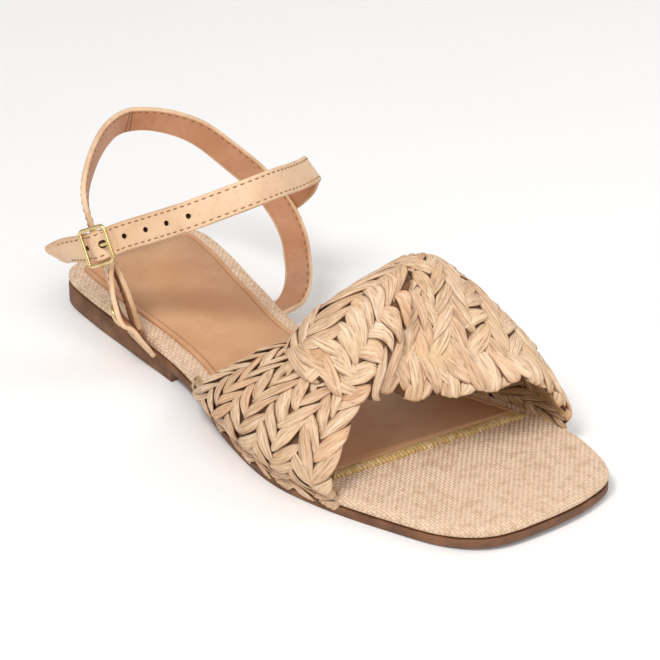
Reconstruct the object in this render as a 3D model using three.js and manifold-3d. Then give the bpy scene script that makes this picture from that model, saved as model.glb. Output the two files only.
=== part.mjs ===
import * as THREE from "three";
import { mergeVertices } from "three/addons/utils/BufferGeometryUtils.js";
import Module from "manifold-3d";

const wasm = await Module();
wasm.setup();

// A right-foot flat sandal. Toe towards -Y, inner side of the foot towards +X, ground at Z = 0.

// Driving dimensions, in millimetres
const SOLE_LENGTH = 245;
const BALL_HALF_WIDTH = 46;
const VAMP_HEIGHT = 76;
const ANKLE_HEIGHT = 78;
const FIT_GAP = 0.3;

const HEEL_LIFT = 8.4;
const SOLE_THICKNESS = 3.2;
const TOE_SPRING = 2.0;
const HEEL_BLOCK_LENGTH = 82;
const SOLE_EDGE_ROUND = 0.5;
const SOLE_UNDER_INSET = 1.2;

const BOARD_THICKNESS = 4.6;
const BOARD_EDGE_ROUND = 2.6;
const SOCK_THICKNESS = 1.0;
const SOCK_INSET = 6.3;
const SOCK_EDGE_ROUND = 0.6;
const WELT_WIDTH = 4.4;
const WELT_HEIGHT = 1.5;
const WELT_OVERHANG = 1.5;

const BRAID_WALL = 2.6;
const STRIP_RELIEF = 1.0;
const STRIP_PITCH = 8.4;
const KNOT_WALL = 6.0;

const ANKLE_STRAP_WIDTH = 10.8;
const ANKLE_STRAP_THICKNESS = 2.0;
const BUCKLE_STRAP_WIDTH = 11.0;
const BUCKLE_STRAP_THICKNESS = 1.8;
const HOLE_PITCH = 9.5;
const HOLE_COUNT = 6;
const HOLE_DIAMETER = 2.0;
const PRONG_HOLE_DIAMETER = 3.0;
const FREE_END = 34.2;

const BUCKLE_WIRE = 1.5;
const BUCKLE_BAR_SPACING = 6.3;
const BUCKLE_SIDE_ROOM = 0.5;
const PRONG_WIRE = 1.2;
const RIVET_DIAMETER = 9;
const RIVET_HEIGHT = 1.6;

// Where the pieces lie along the sole, as shares of its length from the heel
const ARCH_START = 0.245;
const ARCH_END = 0.61;
const TOE_BEND = 0.82;
const SOCK_FRONT_OUTER = 0.725;
const SOCK_FRONT_INNER = 0.768;

const material = (color, roughness, metalness) =>
  new THREE.MeshStandardMaterial({ color, roughness, metalness });
const RAFFIA = material(0xdcc09a, 0.75, 0);
const RAFFIA_CLOTH = material(0xcfae86, 0.85, 0);
const STRAP_LEATHER = material(0xcaa483, 0.5, 0);
const SOCK_LEATHER = material(0xc19068, 0.55, 0);
const SOLE_BROWN = material(0x7a5236, 0.6, 0);
const PALE_GOLD = material(0xd8bd7a, 0.25, 1);

// Shares to a point: along from the heel, across towards the inner side, up from the ground
const point = (along, across, up, height) =>
  new THREE.Vector3(across * BALL_HALF_WIDTH, (0.5 - along) * SOLE_LENGTH, up * height);
const alongOf = (y) => 0.5 - y / SOLE_LENGTH;
const smooth = (t) => {
  const c = THREE.MathUtils.clamp(t, 0, 1);
  return c * c * (3 - 2 * c);
};

// Outline of the sole, round from the middle of the heel: along, across
const OUTLINE = [
  [0.003, 0.0], [0.012, 0.42], [0.048, 0.68], [0.138, 0.638], [0.26, 0.481], [0.402, 0.36],
  [0.543, 0.601], [0.684, 0.875], [0.784, 1.027], [0.884, 1.018], [0.969, 0.857], [0.996, 0.56],
  [1.0, 0.12], [0.986, -0.34], [0.938, -0.62], [0.851, -0.815], [0.75, -0.993], [0.649, -1.075],
  [0.525, -0.983], [0.382, -0.79], [0.237, -0.737], [0.112, -0.7], [0.03, -0.62], [0.007, -0.36],
];
const OUTLINE_STEPS = 3;
const outlineCurve = new THREE.CatmullRomCurve3(
  OUTLINE.map(([along, across]) => point(along, across, 0, 0)), true, "catmullrom", 0.5);
const outlineCount = OUTLINE.length * OUTLINE_STEPS;
const outlinePoints = Array.from({ length: outlineCount }, (_, i) =>
  outlineCurve.getPoint(i / outlineCount));
const outlineInward = outlinePoints.map((_, i) => {
  const before = outlinePoints[(i + outlineCount - 1) % outlineCount];
  const after = outlinePoints[(i + 1) % outlineCount];
  const t = after.clone().sub(before).normalize();
  return new THREE.Vector3(t.y, -t.x, 0);
});
if (outlineInward[0].y > 0) {
  outlineInward.forEach((n) => n.negate());
}

// Half width of the sole at a share of its length, on the inner (+1) or outer (-1) side
function edgeAt(along, side) {
  let best = null;
  for (let i = 0; i < outlineCount; i += 1) {
    const a = outlinePoints[i];
    const b = outlinePoints[(i + 1) % outlineCount];
    const ta = alongOf(a.y) - along;
    const tb = alongOf(b.y) - along;
    if (ta * tb <= 0 && ta !== tb && side * (a.x + b.x) > 0) {
      const x = a.x + ((b.x - a.x) * ta) / (ta - tb);
      best = best === null || side * x > side * best ? x : best;
    }
  }
  return best;
}

// Heights: the top face of the outsole follows the heel, the arch and the toe spring
function soleTop(along) {
  const arch = smooth((along - ARCH_START) / (ARCH_END - ARCH_START));
  const toe = Math.max(0, (along - TOE_BEND) / (1 - TOE_BEND));
  return HEEL_LIFT + (SOLE_THICKNESS - HEEL_LIFT) * arch + TOE_SPRING * toe * toe;
}
const boardTop = (along) => soleTop(along) + FIT_GAP + BOARD_THICKNESS;

// Closed mesh from vertices and triangles
function meshGeometry(vertices, triangles) {
  const geometry = new THREE.BufferGeometry();
  const places = vertices.flatMap((v) => [v.x, v.y, v.z]);
  geometry.setAttribute("position", new THREE.Float32BufferAttribute(places, 3));
  geometry.setIndex(triangles.flat());
  return geometry;
}

// manifold-3d joins and cuts
function solid(geometry) {
  const bare = geometry.clone();
  bare.deleteAttribute("normal");
  bare.deleteAttribute("uv");
  const merged = mergeVertices(bare, 1e-4);
  let made = new wasm.Manifold(new wasm.Mesh({
    numProp: 3,
    vertProperties: new Float32Array(merged.attributes.position.array),
    triVerts: new Uint32Array(merged.index.array),
  }));
  if (made.volume() < 0) {
    const index = merged.index.array;
    for (let i = 0; i < index.length; i += 3) {
      [index[i], index[i + 1]] = [index[i + 1], index[i]];
    }
    made = new wasm.Manifold(new wasm.Mesh({
      numProp: 3,
      vertProperties: new Float32Array(merged.attributes.position.array),
      triVerts: new Uint32Array(index),
    }));
  }
  return made;
}
function geometryOf(body) {
  const got = body.getMesh();
  const geometry = new THREE.BufferGeometry();
  geometry.setAttribute("position", new THREE.BufferAttribute(got.vertProperties, 3));
  geometry.setIndex(new THREE.BufferAttribute(got.triVerts, 1));
  return geometry;
}

const largest = (body) => body.decompose().sort((a, b) => b.volume() - a.volume())[0];

// A flat layer with the sole's outline. Each ring has an inset and a height above a profile;
// the rings run from the middle of the underside round the edge to the middle of the top.
function layer(rings, profile) {
  const n = outlineCount;
  const vertices = [];
  rings.forEach(({ inset, rise }) => {
    outlinePoints.forEach((p, i) => {
      const x = p.x + outlineInward[i].x * inset;
      const y = p.y + outlineInward[i].y * inset;
      vertices.push(new THREE.Vector3(x, y, profile(alongOf(y)) + rise));
    });
  });
  const triangles = [];
  for (let r = 0; r + 1 < rings.length; r += 1) {
    for (let i = 0; i < n; i += 1) {
      const j = (i + 1) % n;
      triangles.push([r * n + i, r * n + j, (r + 1) * n + j], [r * n + i, (r + 1) * n + j, (r + 1) * n + i]);
    }
  }
  const cap = (base, flip) => {
    const add = (a, b, c) => {
      triangles.push(flip ? [base + c, base + b, base + a] : [base + a, base + b, base + c]);
    };
    add(0, 1, n - 1);
    for (let i = 1; i < n / 2 - 1; i += 1) {
      add(i, i + 1, n - i);
      add(i + 1, n - i - 1, n - i);
    }
    add(n / 2 - 1, n / 2, n / 2 + 1);
  };
  cap(0, true);
  cap((rings.length - 1) * n, false);
  return solid(meshGeometry(vertices, triangles));
}

function boxSolid(low, high) {
  const size = high.clone().sub(low);
  const box = new THREE.BoxGeometry(size.x, size.y, size.z);
  box.translate((low.x + high.x) / 2, (low.y + high.y) / 2, (low.z + high.z) / 2);
  return solid(box);
}

// Woven walls: rows of points as shares (along, across, up), each from the rear edge to the front
const BASE_OUT = 0.6;
const OUTER_BASE = { side: -1, rear: 0.408, front: 0.771 };
const INNER_BASE = { side: 1, rear: 0.54, front: 0.838 };
const OUTER_WING = [
  [[0.461, -1.0, 0.191], [0.62, -1.15, 0.211], [0.778, -1.043, 0.184]],
  [[0.514, -1.03, 0.355], [0.641, -1.109, 0.408], [0.77, -0.91, 0.362]],
  [[0.576, -0.859, 0.526], [0.673, -0.891, 0.566], [0.767, -0.73, 0.5]],
  [[0.624, -0.674, 0.632], [0.698, -0.652, 0.671], [0.763, -0.587, 0.605]],
  [[0.653, -0.435, 0.684], [0.702, -0.413, 0.737], [0.751, -0.391, 0.684]],
];
const INNER_WING = [
  [[0.637, -0.65, 0.64], [0.718, -0.217, 0.97], [0.767, -0.587, 0.605]],
  [[0.61, -0.304, 0.6], [0.724, 0.03, 1.0], [0.784, -0.348, 0.507]],
  [[0.6, 0.043, 0.605], [0.714, 0.3, 0.95], [0.808, -0.043, 0.48]],
  [[0.604, 0.391, 0.599], [0.722, 0.62, 0.757], [0.833, 0.304, 0.474]],
  [[0.608, 0.717, 0.507], [0.731, 0.88, 0.566], [0.841, 0.652, 0.454]],
  [[0.592, 1.0, 0.368], [0.727, 1.07, 0.395], [0.845, 0.891, 0.316]],
  [[0.571, 1.02, 0.197], [0.714, 1.09, 0.211], [0.841, 1.043, 0.171]],
];
const KNOT = [
  [[0.639, -0.76, 0.62], [0.637, -0.674, 0.658], [0.645, -0.587, 0.655]],
  [[0.661, -0.826, 0.645], [0.661, -0.68, 0.77], [0.673, -0.435, 0.83]],
  [[0.694, -0.848, 0.618], [0.698, -0.652, 0.85], [0.71, -0.26, 0.967]],
  [[0.727, -0.783, 0.579], [0.735, -0.543, 0.87], [0.739, -0.13, 1.01]],
  [[0.759, -0.696, 0.553], [0.763, -0.5, 0.79], [0.763, -0.304, 0.89]],
  [[0.771, -0.609, 0.539], [0.776, -0.543, 0.63], [0.773, -0.457, 0.67]],
];

const footCentre = point(0.68, 0, 0.25, VAMP_HEIGHT);
// A wing's lowest rows stand on the outsole, against the edge of the footbed
function baseRows({ side, rear, front }) {
  const shares = [0, 0.25, 0.5, 0.75, 1];
  return [0, 1].map((level) => shares.map((t) => {
    const along = rear + (front - rear) * t;
    const x = edgeAt(along, side) + side * (BASE_OUT - BRAID_WALL / 2);
    const z = soleTop(along) + FIT_GAP + level * BOARD_THICKNESS * 0.9;
    return new THREE.Vector3(x, (0.5 - along) * SOLE_LENGTH, z);
  }));
}
const rowPoints = (rows) => rows.map((row) =>
  row.map(([along, across, up]) => point(along, across, up, VAMP_HEIGHT)));

// A row of three points swells from its two ends to its middle, the fuller the lower the power
function rowCurve(row, power) {
  if (row.length > 3) {
    const curve = new THREE.CatmullRomCurve3(row, false, "catmullrom", 0.5);
    return (u) => curve.getPoint(u);
  }
  const [rear, middle, front] = row;
  const swell = middle.clone().sub(rear.clone().lerp(front, 0.5));
  return (u) => rear.clone().lerp(front, u).addScaledVector(swell, Math.sin(Math.PI * u) ** power);
}
// Surface through rows of points: u runs along a row, v from the first row to the last
function surfaceThrough(rows, power) {
  const across = rows.map((row) => rowCurve(row, power));
  return (u, v) => new THREE.CatmullRomCurve3(
    across.map((curve) => curve(u)), false, "catmullrom", 0.5).getPoint(v);
}

// Height of the plaited strips: columns along the band, in each of them leaves that lean
// by turns to one side and to the other
function braidRelief(u, distance, columns) {
  const place = u * columns;
  const column = Math.min(columns - 1, Math.floor(place));
  const within = place - column;
  const lean = column % 2 === 0 ? within : 1 - within;
  const phase = distance / STRIP_PITCH + lean;
  const leaf = Math.abs((phase - Math.floor(phase)) * 2 - 1);
  return (1 - leaf ** 2) * Math.sin(Math.PI * Math.min(1, Math.max(0, within))) ** 0.5;
}

// A wall of woven strips: a fine outer face with relief, a plain inner face at half the steps
function wovenWall({ rows, power, columns, lengthSteps, wall, spread, raised }) {
  const surface = surfaceThrough(rows, power);
  const nu = columns * 4;
  const nv = lengthSteps;
  const length = surface(0.5, 0).distanceTo(surface(0.5, 0.5)) + surface(0.5, 0.5).distanceTo(surface(0.5, 1));
  const frameAt = (u, v) => {
    const e = 0.01;
    const du = surface(Math.min(1, u + e), v).sub(surface(Math.max(0, u - e), v));
    const dv = surface(u, Math.min(1, v + e)).sub(surface(u, Math.max(0, v - e)));
    const n = du.cross(dv).normalize();
    const p = surface(u, v);
    if (n.dot(p.clone().sub(footCentre)) < 0) {
      n.negate();
    }
    return { p, n };
  };
  const vertices = [];
  for (let j = 0; j <= nv; j += 1) {
    for (let i = 0; i <= nu; i += 1) {
      const u = i / nu;
      const v = j / nv;
      const { p, n } = frameAt(u, v);
      const edge = Math.min(1, 4 * Math.sin(Math.PI * v));
      const rise = raised * STRIP_RELIEF * braidRelief(u, v * length, columns) * edge;
      vertices.push(p.addScaledVector(n, wall / 2 + spread + rise));
    }
  }
  const innerBase = vertices.length;
  const mu = nu / 2;
  const mv = nv / 2;
  for (let j = 0; j <= mv; j += 1) {
    for (let i = 0; i <= mu; i += 1) {
      const { p, n } = frameAt(i / mu, j / mv);
      vertices.push(p.addScaledVector(n, -wall / 2 - spread));
    }
  }
  const outer = (i, j) => j * (nu + 1) + i;
  const inner = (i, j) => innerBase + j * (mu + 1) + i;
  const triangles = [];
  for (let j = 0; j < nv; j += 1) {
    for (let i = 0; i < nu; i += 1) {
      triangles.push([outer(i, j), outer(i + 1, j), outer(i + 1, j + 1)]);
      triangles.push([outer(i, j), outer(i + 1, j + 1), outer(i, j + 1)]);
    }
  }
  for (let j = 0; j < mv; j += 1) {
    for (let i = 0; i < mu; i += 1) {
      triangles.push([inner(i, j), inner(i + 1, j + 1), inner(i + 1, j)]);
      triangles.push([inner(i, j), inner(i, j + 1), inner(i + 1, j + 1)]);
    }
  }
  const rim = [];
  for (let i = 0; i < mu; i += 1) {
    rim.push([outer(2 * i, 0), outer(2 * i + 1, 0), outer(2 * i + 2, 0), inner(i, 0), inner(i + 1, 0)]);
    const from = nu - 2 * i;
    const within = mu - i;
    rim.push([outer(from, nv), outer(from - 1, nv), outer(from - 2, nv), inner(within, mv), inner(within - 1, mv)]);
  }
  for (let j = 0; j < mv; j += 1) {
    rim.push([outer(nu, 2 * j), outer(nu, 2 * j + 1), outer(nu, 2 * j + 2), inner(mu, j), inner(mu, j + 1)]);
    const from = nv - 2 * j;
    rim.push([outer(0, from), outer(0, from - 1), outer(0, from - 2), inner(0, mv - j), inner(0, mv - j - 1)]);
  }
  rim.forEach(([a, b, c, p, q]) => triangles.push([b, a, p], [b, p, q], [c, b, q]));
  return solid(meshGeometry(vertices, triangles));
}

function wings(spread, raised) {
  const outerWing = wovenWall({
    rows: [...baseRows(OUTER_BASE), ...rowPoints(OUTER_WING)],
    power: 0.9, columns: 8, lengthSteps: 20, wall: BRAID_WALL, spread, raised,
  });
  const innerWing = wovenWall({
    rows: [...rowPoints(INNER_WING), ...baseRows(INNER_BASE).reverse()],
    power: 0.7, columns: 7, lengthSteps: 30, wall: BRAID_WALL, spread, raised,
  });
  return { outerWing, innerWing };
}
// All that lies lower than the seat of the pieces on the outsole
const SEAT_REACH = 8;
const belowSeat = layer([
  { inset: -SEAT_REACH, rise: -3 * HEEL_LIFT }, { inset: -SEAT_REACH, rise: FIT_GAP },
], soleTop);
const { outerWing, innerWing } = wings(0, 1);
const knot = wovenWall({
  rows: rowPoints(KNOT), power: 0.9, columns: 4, lengthSteps: 16, wall: KNOT_WALL, spread: 0, raised: 1,
});
const upper = largest(outerWing.add(innerWing).add(knot).subtract(belowSeat));

// Straps: bands along a curve, with a width, a thickness and rounded edges
function bandPath(stations, height, closing) {
  const points = stations.map(({ along, across, up }) => point(along, across, up, height));
  const curve = new THREE.CatmullRomCurve3(closing ? [...points, closing] : points, false, "centripetal");
  curve.arcLengthDivisions = 400;
  return curve;
}
const ankleAxis = point(0.225, -0.065, 0, 0);
function bandFrame(curve, t, lean) {
  const centre = curve.getPointAt(t);
  const tangent = curve.getTangentAt(t);
  const out = new THREE.Vector3(centre.x - ankleAxis.x, centre.y - ankleAxis.y, 0);
  out.addScaledVector(tangent, -out.dot(tangent)).normalize();
  const side = new THREE.Vector3().crossVectors(out, tangent).normalize();
  out.applyAxisAngle(tangent, lean);
  side.applyAxisAngle(tangent, lean);
  return { centre, tangent, out, side };
}
function band({ curve, steps, width, thickness, lean, rise, from = 0, to = 1 }) {
  const vertices = [];
  const half = thickness / 2;
  for (let k = 0; k <= steps; k += 1) {
    const t = from + ((to - from) * k) / steps;
    const { centre, out, side } = bandFrame(curve, t, lean(t));
    const w = width(t) / 2;
    const section = [
      [-w, -half * 0.5], [-w + half, -half], [w - half, -half], [w, -half * 0.5],
      [w, half * 0.5], [w - half, half], [-w + half, half], [-w, half * 0.5],
    ];
    section.forEach(([a, b]) => {
      vertices.push(centre.clone().addScaledVector(side, a).addScaledVector(out, b + (rise ? rise(t) : 0)));
    });
  }
  const n = 8;
  const triangles = [];
  for (let k = 0; k < steps; k += 1) {
    for (let i = 0; i < n; i += 1) {
      const j = (i + 1) % n;
      triangles.push([k * n + i, k * n + j, (k + 1) * n + j], [k * n + i, (k + 1) * n + j, (k + 1) * n + i]);
    }
  }
  const end = steps * n;
  [[0, 1, 7], [1, 6, 7], [1, 2, 6], [2, 5, 6], [2, 3, 5], [3, 4, 5]].forEach(([a, b, c]) => {
    triangles.push([a, c, b], [end + a, end + b, end + c]);
  });
  return solid(meshGeometry(vertices, triangles));
}
// A value that runs through the stations of a strap
function through(stations, key) {
  return (t) => {
    const place = t * (stations.length - 1);
    const i = Math.min(stations.length - 2, Math.floor(place));
    const f = place - i;
    return stations[i][key] * (1 - f) + stations[i + 1][key] * f;
  };
}

const toStation = ([along, across, up, lean]) => ({
  along, across, up, lean: THREE.MathUtils.degToRad(lean),
});
// Ankle strap, from the outer side round the heel to the inner side: along, across, up, lean
const ANKLE_STRAP = [
  [0.258, -0.8, 0.215, -30], [0.25, -0.85, 0.38, -30], [0.224, -0.88, 0.525, -24],
  [0.184, -0.91, 0.655, -18], [0.143, -0.826, 0.77, -12], [0.106, -0.609, 0.868, -2],
  [0.069, -0.304, 0.92, 5], [0.045, 0.0, 0.904, 9], [0.069, 0.196, 0.897, 12],
  [0.118, 0.391, 0.859, 14], [0.163, 0.565, 0.747, 6], [0.204, 0.707, 0.628, -6],
  [0.237, 0.8, 0.494, -24], [0.263, 0.815, 0.378, -38], [0.273, 0.804, 0.3, -44],
  [0.286, 0.765, 0.224, -50], [0.297, 0.7, 0.163, -60], [0.307, 0.587, 0.125, -75],
].map(toStation);
// Buckle strap, from its free end over the instep to the ankle strap: along, across, up, lean
const BUCKLE_STRAP = [
  [0.113, -1.033, 0.45, 60], [0.163, -1.072, 0.549, 36], [0.204, -1.072, 0.61, 12],
  [0.237, -1.043, 0.667, -4], [0.269, -0.93, 0.733, -10], [0.314, -0.787, 0.814, -18],
  [0.359, -0.652, 0.897, -26], [0.392, -0.457, 0.964, -32], [0.41, -0.196, 1.003, -34],
  [0.402, 0.065, 0.99, -34], [0.382, 0.304, 0.946, -34], [0.36, 0.522, 0.905, -36],
  [0.33, 0.717, 0.852, -36], [0.299, 0.83, 0.776, -32], [0.268, 0.9, 0.66, -26],
  [0.24, 0.89, 0.565, -20], [0.222, 0.86, 0.51, -20],
].map(toStation);

// The inner end of the ankle strap is tucked flat between the outsole and the board
const INNER_ANCHOR_ALONG = 0.314;
const TUCK_DEPTH = 3;
const TUCK_LEAN = THREE.MathUtils.degToRad(-85);
const innerAnchor = new THREE.Vector3(
  edgeAt(INNER_ANCHOR_ALONG, 1) - TUCK_DEPTH,
  (0.5 - INNER_ANCHOR_ALONG) * SOLE_LENGTH,
  soleTop(INNER_ANCHOR_ALONG) + FIT_GAP + ANKLE_STRAP_THICKNESS / 2);
const ankleCurve = bandPath(ANKLE_STRAP, ANKLE_HEIGHT, innerAnchor);
const ankleLean = through([...ANKLE_STRAP, { lean: TUCK_LEAN }], "lean");
const ankleBand = (grow) => band({
  curve: ankleCurve, steps: 44, lean: ankleLean,
  width: () => ANKLE_STRAP_WIDTH + 2 * grow,
  thickness: ANKLE_STRAP_THICKNESS + 2 * grow,
});

const buckleCurve = bandPath(BUCKLE_STRAP, ANKLE_HEIGHT);
const buckleLength = buckleCurve.getLength();
const buckleLean = through(BUCKLE_STRAP, "lean");
// Under the two end bars of the buckle and over its middle bar
const barOffset = (BUCKLE_WIRE + BUCKLE_STRAP_THICKNESS) / 2 + FIT_GAP;
const waveHeight = barOffset * 0.54;
const frameLevel = barOffset - waveHeight;
function buckleWave(t) {
  const d = t * buckleLength - FREE_END;
  return Math.abs(d) > 1.5 * BUCKLE_BAR_SPACING ? 0 : waveHeight * Math.cos((Math.PI * d) / BUCKLE_BAR_SPACING);
}
const buckleBand = (from, to, steps, grow = 0) => band({
  curve: buckleCurve, steps, lean: buckleLean, rise: buckleWave, from, to,
  width: () => BUCKLE_STRAP_WIDTH + 2 * grow,
  thickness: BUCKLE_STRAP_THICKNESS + 2 * grow,
});

const at = (x, y, z) => new THREE.Vector3(x, y, z);

// Outer quarter: the tab that rises from the footbed's edge to the buckle
const QUARTER_THICKNESS = 1.8;
const QUARTER_BASE_WIDTH = 24;
const QUARTER_TOP_WIDTH = 10.5;
const QUARTER_ALONG = 0.263;
const toQuarter = ([along, across, up, share, turn]) => ({
  along, across, up, share, turn: THREE.MathUtils.degToRad(turn),
});
// along, across, up, the share of the way from the base width to the top width, and the turn
// towards the rear
const QUARTER = [
  [0.261, -0.793, 0.153, 0, -36], [0.256, -0.837, 0.205, 0.05, -38], [0.245, -0.9, 0.269, 0.2, -36],
  [0.237, -0.935, 0.385, 0.5, -34], [0.233, -0.96, 0.513, 0.85, -26], [0.235, -0.968, 0.615, 1, -14],
  [0.237, -0.97, 0.68, 1, -8],
].map(toQuarter);
const QUARTER_BASE_TURN = THREE.MathUtils.degToRad(-30);
const quarterBase = at(
  edgeAt(QUARTER_ALONG, -1) - QUARTER_THICKNESS / 2,
  (0.5 - QUARTER_ALONG) * SOLE_LENGTH,
  soleTop(QUARTER_ALONG) + FIT_GAP);
const quarterCurve = new THREE.CatmullRomCurve3(
  [quarterBase, ...QUARTER.map(({ along, across, up }) => point(along, across, up, ANKLE_HEIGHT))],
  false, "centripetal");
const quarterStations = [{ share: 0, turn: QUARTER_BASE_TURN }, ...QUARTER];
const quarterShare = through(quarterStations, "share");
const quarterTurn = through(quarterStations, "turn");
const quarterWidth = (t) =>
  QUARTER_BASE_WIDTH + (QUARTER_TOP_WIDTH - QUARTER_BASE_WIDTH) * quarterShare(t);
const quarterBand = (grow) => band({
  curve: quarterCurve, steps: 16, lean: quarterTurn,
  width: (t) => quarterWidth(t) + 2 * grow,
  thickness: QUARTER_THICKNESS + 2 * grow,
});

// The buckle's own frame: x along the strap, y across it, z outwards
const buckleAt = FREE_END / buckleLength;
const buckleSeat = bandFrame(buckleCurve, buckleAt, buckleLean(buckleAt));
const buckleMatrix = new THREE.Matrix4()
  .makeBasis(buckleSeat.tangent, buckleSeat.side.clone().negate(), buckleSeat.out)
  .setPosition(buckleSeat.centre);
const placed = (body, matrix) => solid(geometryOf(body).applyMatrix4(matrix));

function rod(points, diameter, sides) {
  const section = new THREE.Shape(Array.from({ length: sides }, (_, i) => {
    const a = (2 * Math.PI * (i + 0.5)) / sides;
    return new THREE.Vector2((Math.cos(a) * diameter) / 2, (Math.sin(a) * diameter) / 2);
  }));
  const straight = points.length === 2;
  const path = straight
    ? new THREE.LineCurve3(...points)
    : new THREE.CatmullRomCurve3(points, false, "centripetal");
  const steps = straight ? 1 : (points.length - 1) * 3;
  return solid(new THREE.ExtrudeGeometry(section, { steps, extrudePath: path }));
}

function ringTube(halfX, halfY, corner, level, diameter, sides, cornerSteps) {
  const vertices = [];
  [[1, 1], [-1, 1], [-1, -1], [1, -1]].forEach(([sx, sy], quarter) => {
    for (let k = 0; k <= cornerSteps; k += 1) {
      const turn = (Math.PI / 2) * (quarter + k / cornerSteps);
      const out = at(Math.cos(turn), Math.sin(turn), 0);
      const centre = at(sx * (halfX - corner), sy * (halfY - corner), level);
      centre.addScaledVector(out, corner);
      for (let i = 0; i < sides; i += 1) {
        const a = (2 * Math.PI * i) / sides;
        const rim = centre.clone().addScaledVector(out, (Math.cos(a) * diameter) / 2);
        vertices.push(rim.add(at(0, 0, (Math.sin(a) * diameter) / 2)));
      }
    }
  });
  const rings = vertices.length / sides;
  const triangles = [];
  for (let k = 0; k < rings; k += 1) {
    const m = (k + 1) % rings;
    for (let i = 0; i < sides; i += 1) {
      const j = (i + 1) % sides;
      triangles.push([k * sides + i, m * sides + i, m * sides + j]);
      triangles.push([k * sides + i, m * sides + j, k * sides + j]);
    }
  }
  return solid(meshGeometry(vertices, triangles));
}

const WIRE_SIDES = 8;
const BUCKLE_CORNER = 1.6;
const railY = BUCKLE_STRAP_WIDTH / 2 + BUCKLE_SIDE_ROOM + BUCKLE_WIRE / 2;
function buckleFrameSolid() {
  const ring = ringTube(
    BUCKLE_BAR_SPACING, railY, BUCKLE_CORNER, frameLevel, BUCKLE_WIRE, WIRE_SIDES, 3);
  const barEnd = railY + BUCKLE_WIRE * 0.3;
  const bar = rod([at(0, -barEnd, -frameLevel), at(0, barEnd, -frameLevel)], BUCKLE_WIRE, WIRE_SIDES);
  const posts = [-railY, railY].map((y) =>
    rod([at(0, y, -frameLevel), at(0, y, frameLevel)], BUCKLE_WIRE * 0.96, WIRE_SIDES));
  return ring.add(bar).add(posts[0]).add(posts[1]);
}
// The prong leaves the middle bar, comes up through its hole and lies over the front bar
const PRONG_HOLE_AT = 3.0;
const PRONG_SIDES = 7;
function prongSolid() {
  const start = (BUCKLE_WIRE + PRONG_WIRE) / 2 + FIT_GAP;
  const rest = frameLevel + start;
  return rod([
    at(start, 0, -frameLevel), at(start + 0.8, 0, -frameLevel * 0.8),
    at(PRONG_HOLE_AT, 0, rest * 0.15), at(PRONG_HOLE_AT + 0.5, 0, rest * 0.72),
    at(BUCKLE_BAR_SPACING - 1.2, 0, rest), at(BUCKLE_BAR_SPACING + 1.1, 0, rest),
  ], PRONG_WIRE, PRONG_SIDES);
}

function holeCutter(distance, diameter) {
  const t = distance / buckleLength;
  const { centre, tangent, out, side } = bandFrame(buckleCurve, t, buckleLean(t));
  const depth = 4 * (BUCKLE_STRAP_THICKNESS + waveHeight);
  const cutter = new THREE.CylinderGeometry(diameter / 2, diameter / 2, depth, 10);
  cutter.rotateX(Math.PI / 2);
  cutter.applyMatrix4(new THREE.Matrix4().makeBasis(tangent, side.negate(), out).setPosition(centre));
  return solid(cutter);
}
const buckleBend = (FREE_END + 2 * BUCKLE_BAR_SPACING) / buckleLength;
function buckleStrapSolid() {
  let made = buckleBand(0, buckleBend, 26).add(buckleBand(buckleBend * 0.998, 1, 31));
  for (let k = -1; k < HOLE_COUNT - 1; k += 1) {
    const diameter = k === 0 ? PRONG_HOLE_DIAMETER : HOLE_DIAMETER;
    made = made.subtract(holeCutter(FREE_END + PRONG_HOLE_AT + k * HOLE_PITCH, diameter));
  }
  return largest(made.subtract(ankleBand(FIT_GAP)));
}

function quarterSolid() {
  const rooms = [ankleBand(FIT_GAP), buckleBand(0, buckleBend, 26, FIT_GAP), belowSeat];
  return largest(rooms.reduce((made, room) => made.subtract(room), quarterBand(0)));
}

const RIVET_AT = 0.33;
const RIVET_SEAT = 0.45;
const RIVET_SIDES = 20;
function rivetSolid() {
  const radius = RIVET_DIAMETER / 2;
  // share of the radius, share of the height
  const profile = [[0, 0], [1, 0], [1, 0.45], [0.88, 0.8], [0.6, 1], [0, 1]]
    .map(([r, h]) => new THREE.Vector2(r * radius, h * RIVET_HEIGHT));
  const dome = new THREE.LatheGeometry(profile, RIVET_SIDES);
  dome.rotateX(Math.PI / 2);
  const { centre, tangent, out, side } = bandFrame(quarterCurve, RIVET_AT, quarterTurn(RIVET_AT));
  centre.addScaledVector(out, QUARTER_THICKNESS / 2 + RIVET_SEAT);
  dome.applyMatrix4(new THREE.Matrix4().makeBasis(tangent, side.negate(), out).setPosition(centre));
  return solid(dome);
}

// Outsole: a thin sole under the whole foot and a flat heel block under its rear
function outsoleSolid() {
  const sheet = layer([
    { inset: SOLE_UNDER_INSET, rise: -SOLE_THICKNESS }, { inset: SOLE_EDGE_ROUND, rise: -SOLE_THICKNESS },
    { inset: 0, rise: -SOLE_THICKNESS + SOLE_EDGE_ROUND }, { inset: 0, rise: 0 },
  ], soleTop);
  const block = layer([
    { inset: SOLE_EDGE_ROUND, rise: 0 }, { inset: 0, rise: SOLE_EDGE_ROUND }, { inset: 0, rise: HEEL_LIFT },
  ], () => 0);
  const breast = SOLE_LENGTH / 2 - HEEL_BLOCK_LENGTH;
  const heelPart = block.intersect(
    boxSolid(at(-SOLE_LENGTH, breast, -1), at(SOLE_LENGTH, SOLE_LENGTH, 2 * HEEL_LIFT)));
  const above = layer([
    { inset: -SEAT_REACH, rise: -SOLE_THICKNESS / 2 }, { inset: -SEAT_REACH, rise: HEEL_LIFT },
  ], soleTop);
  return sheet.add(heelPart.subtract(above));
}

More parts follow.
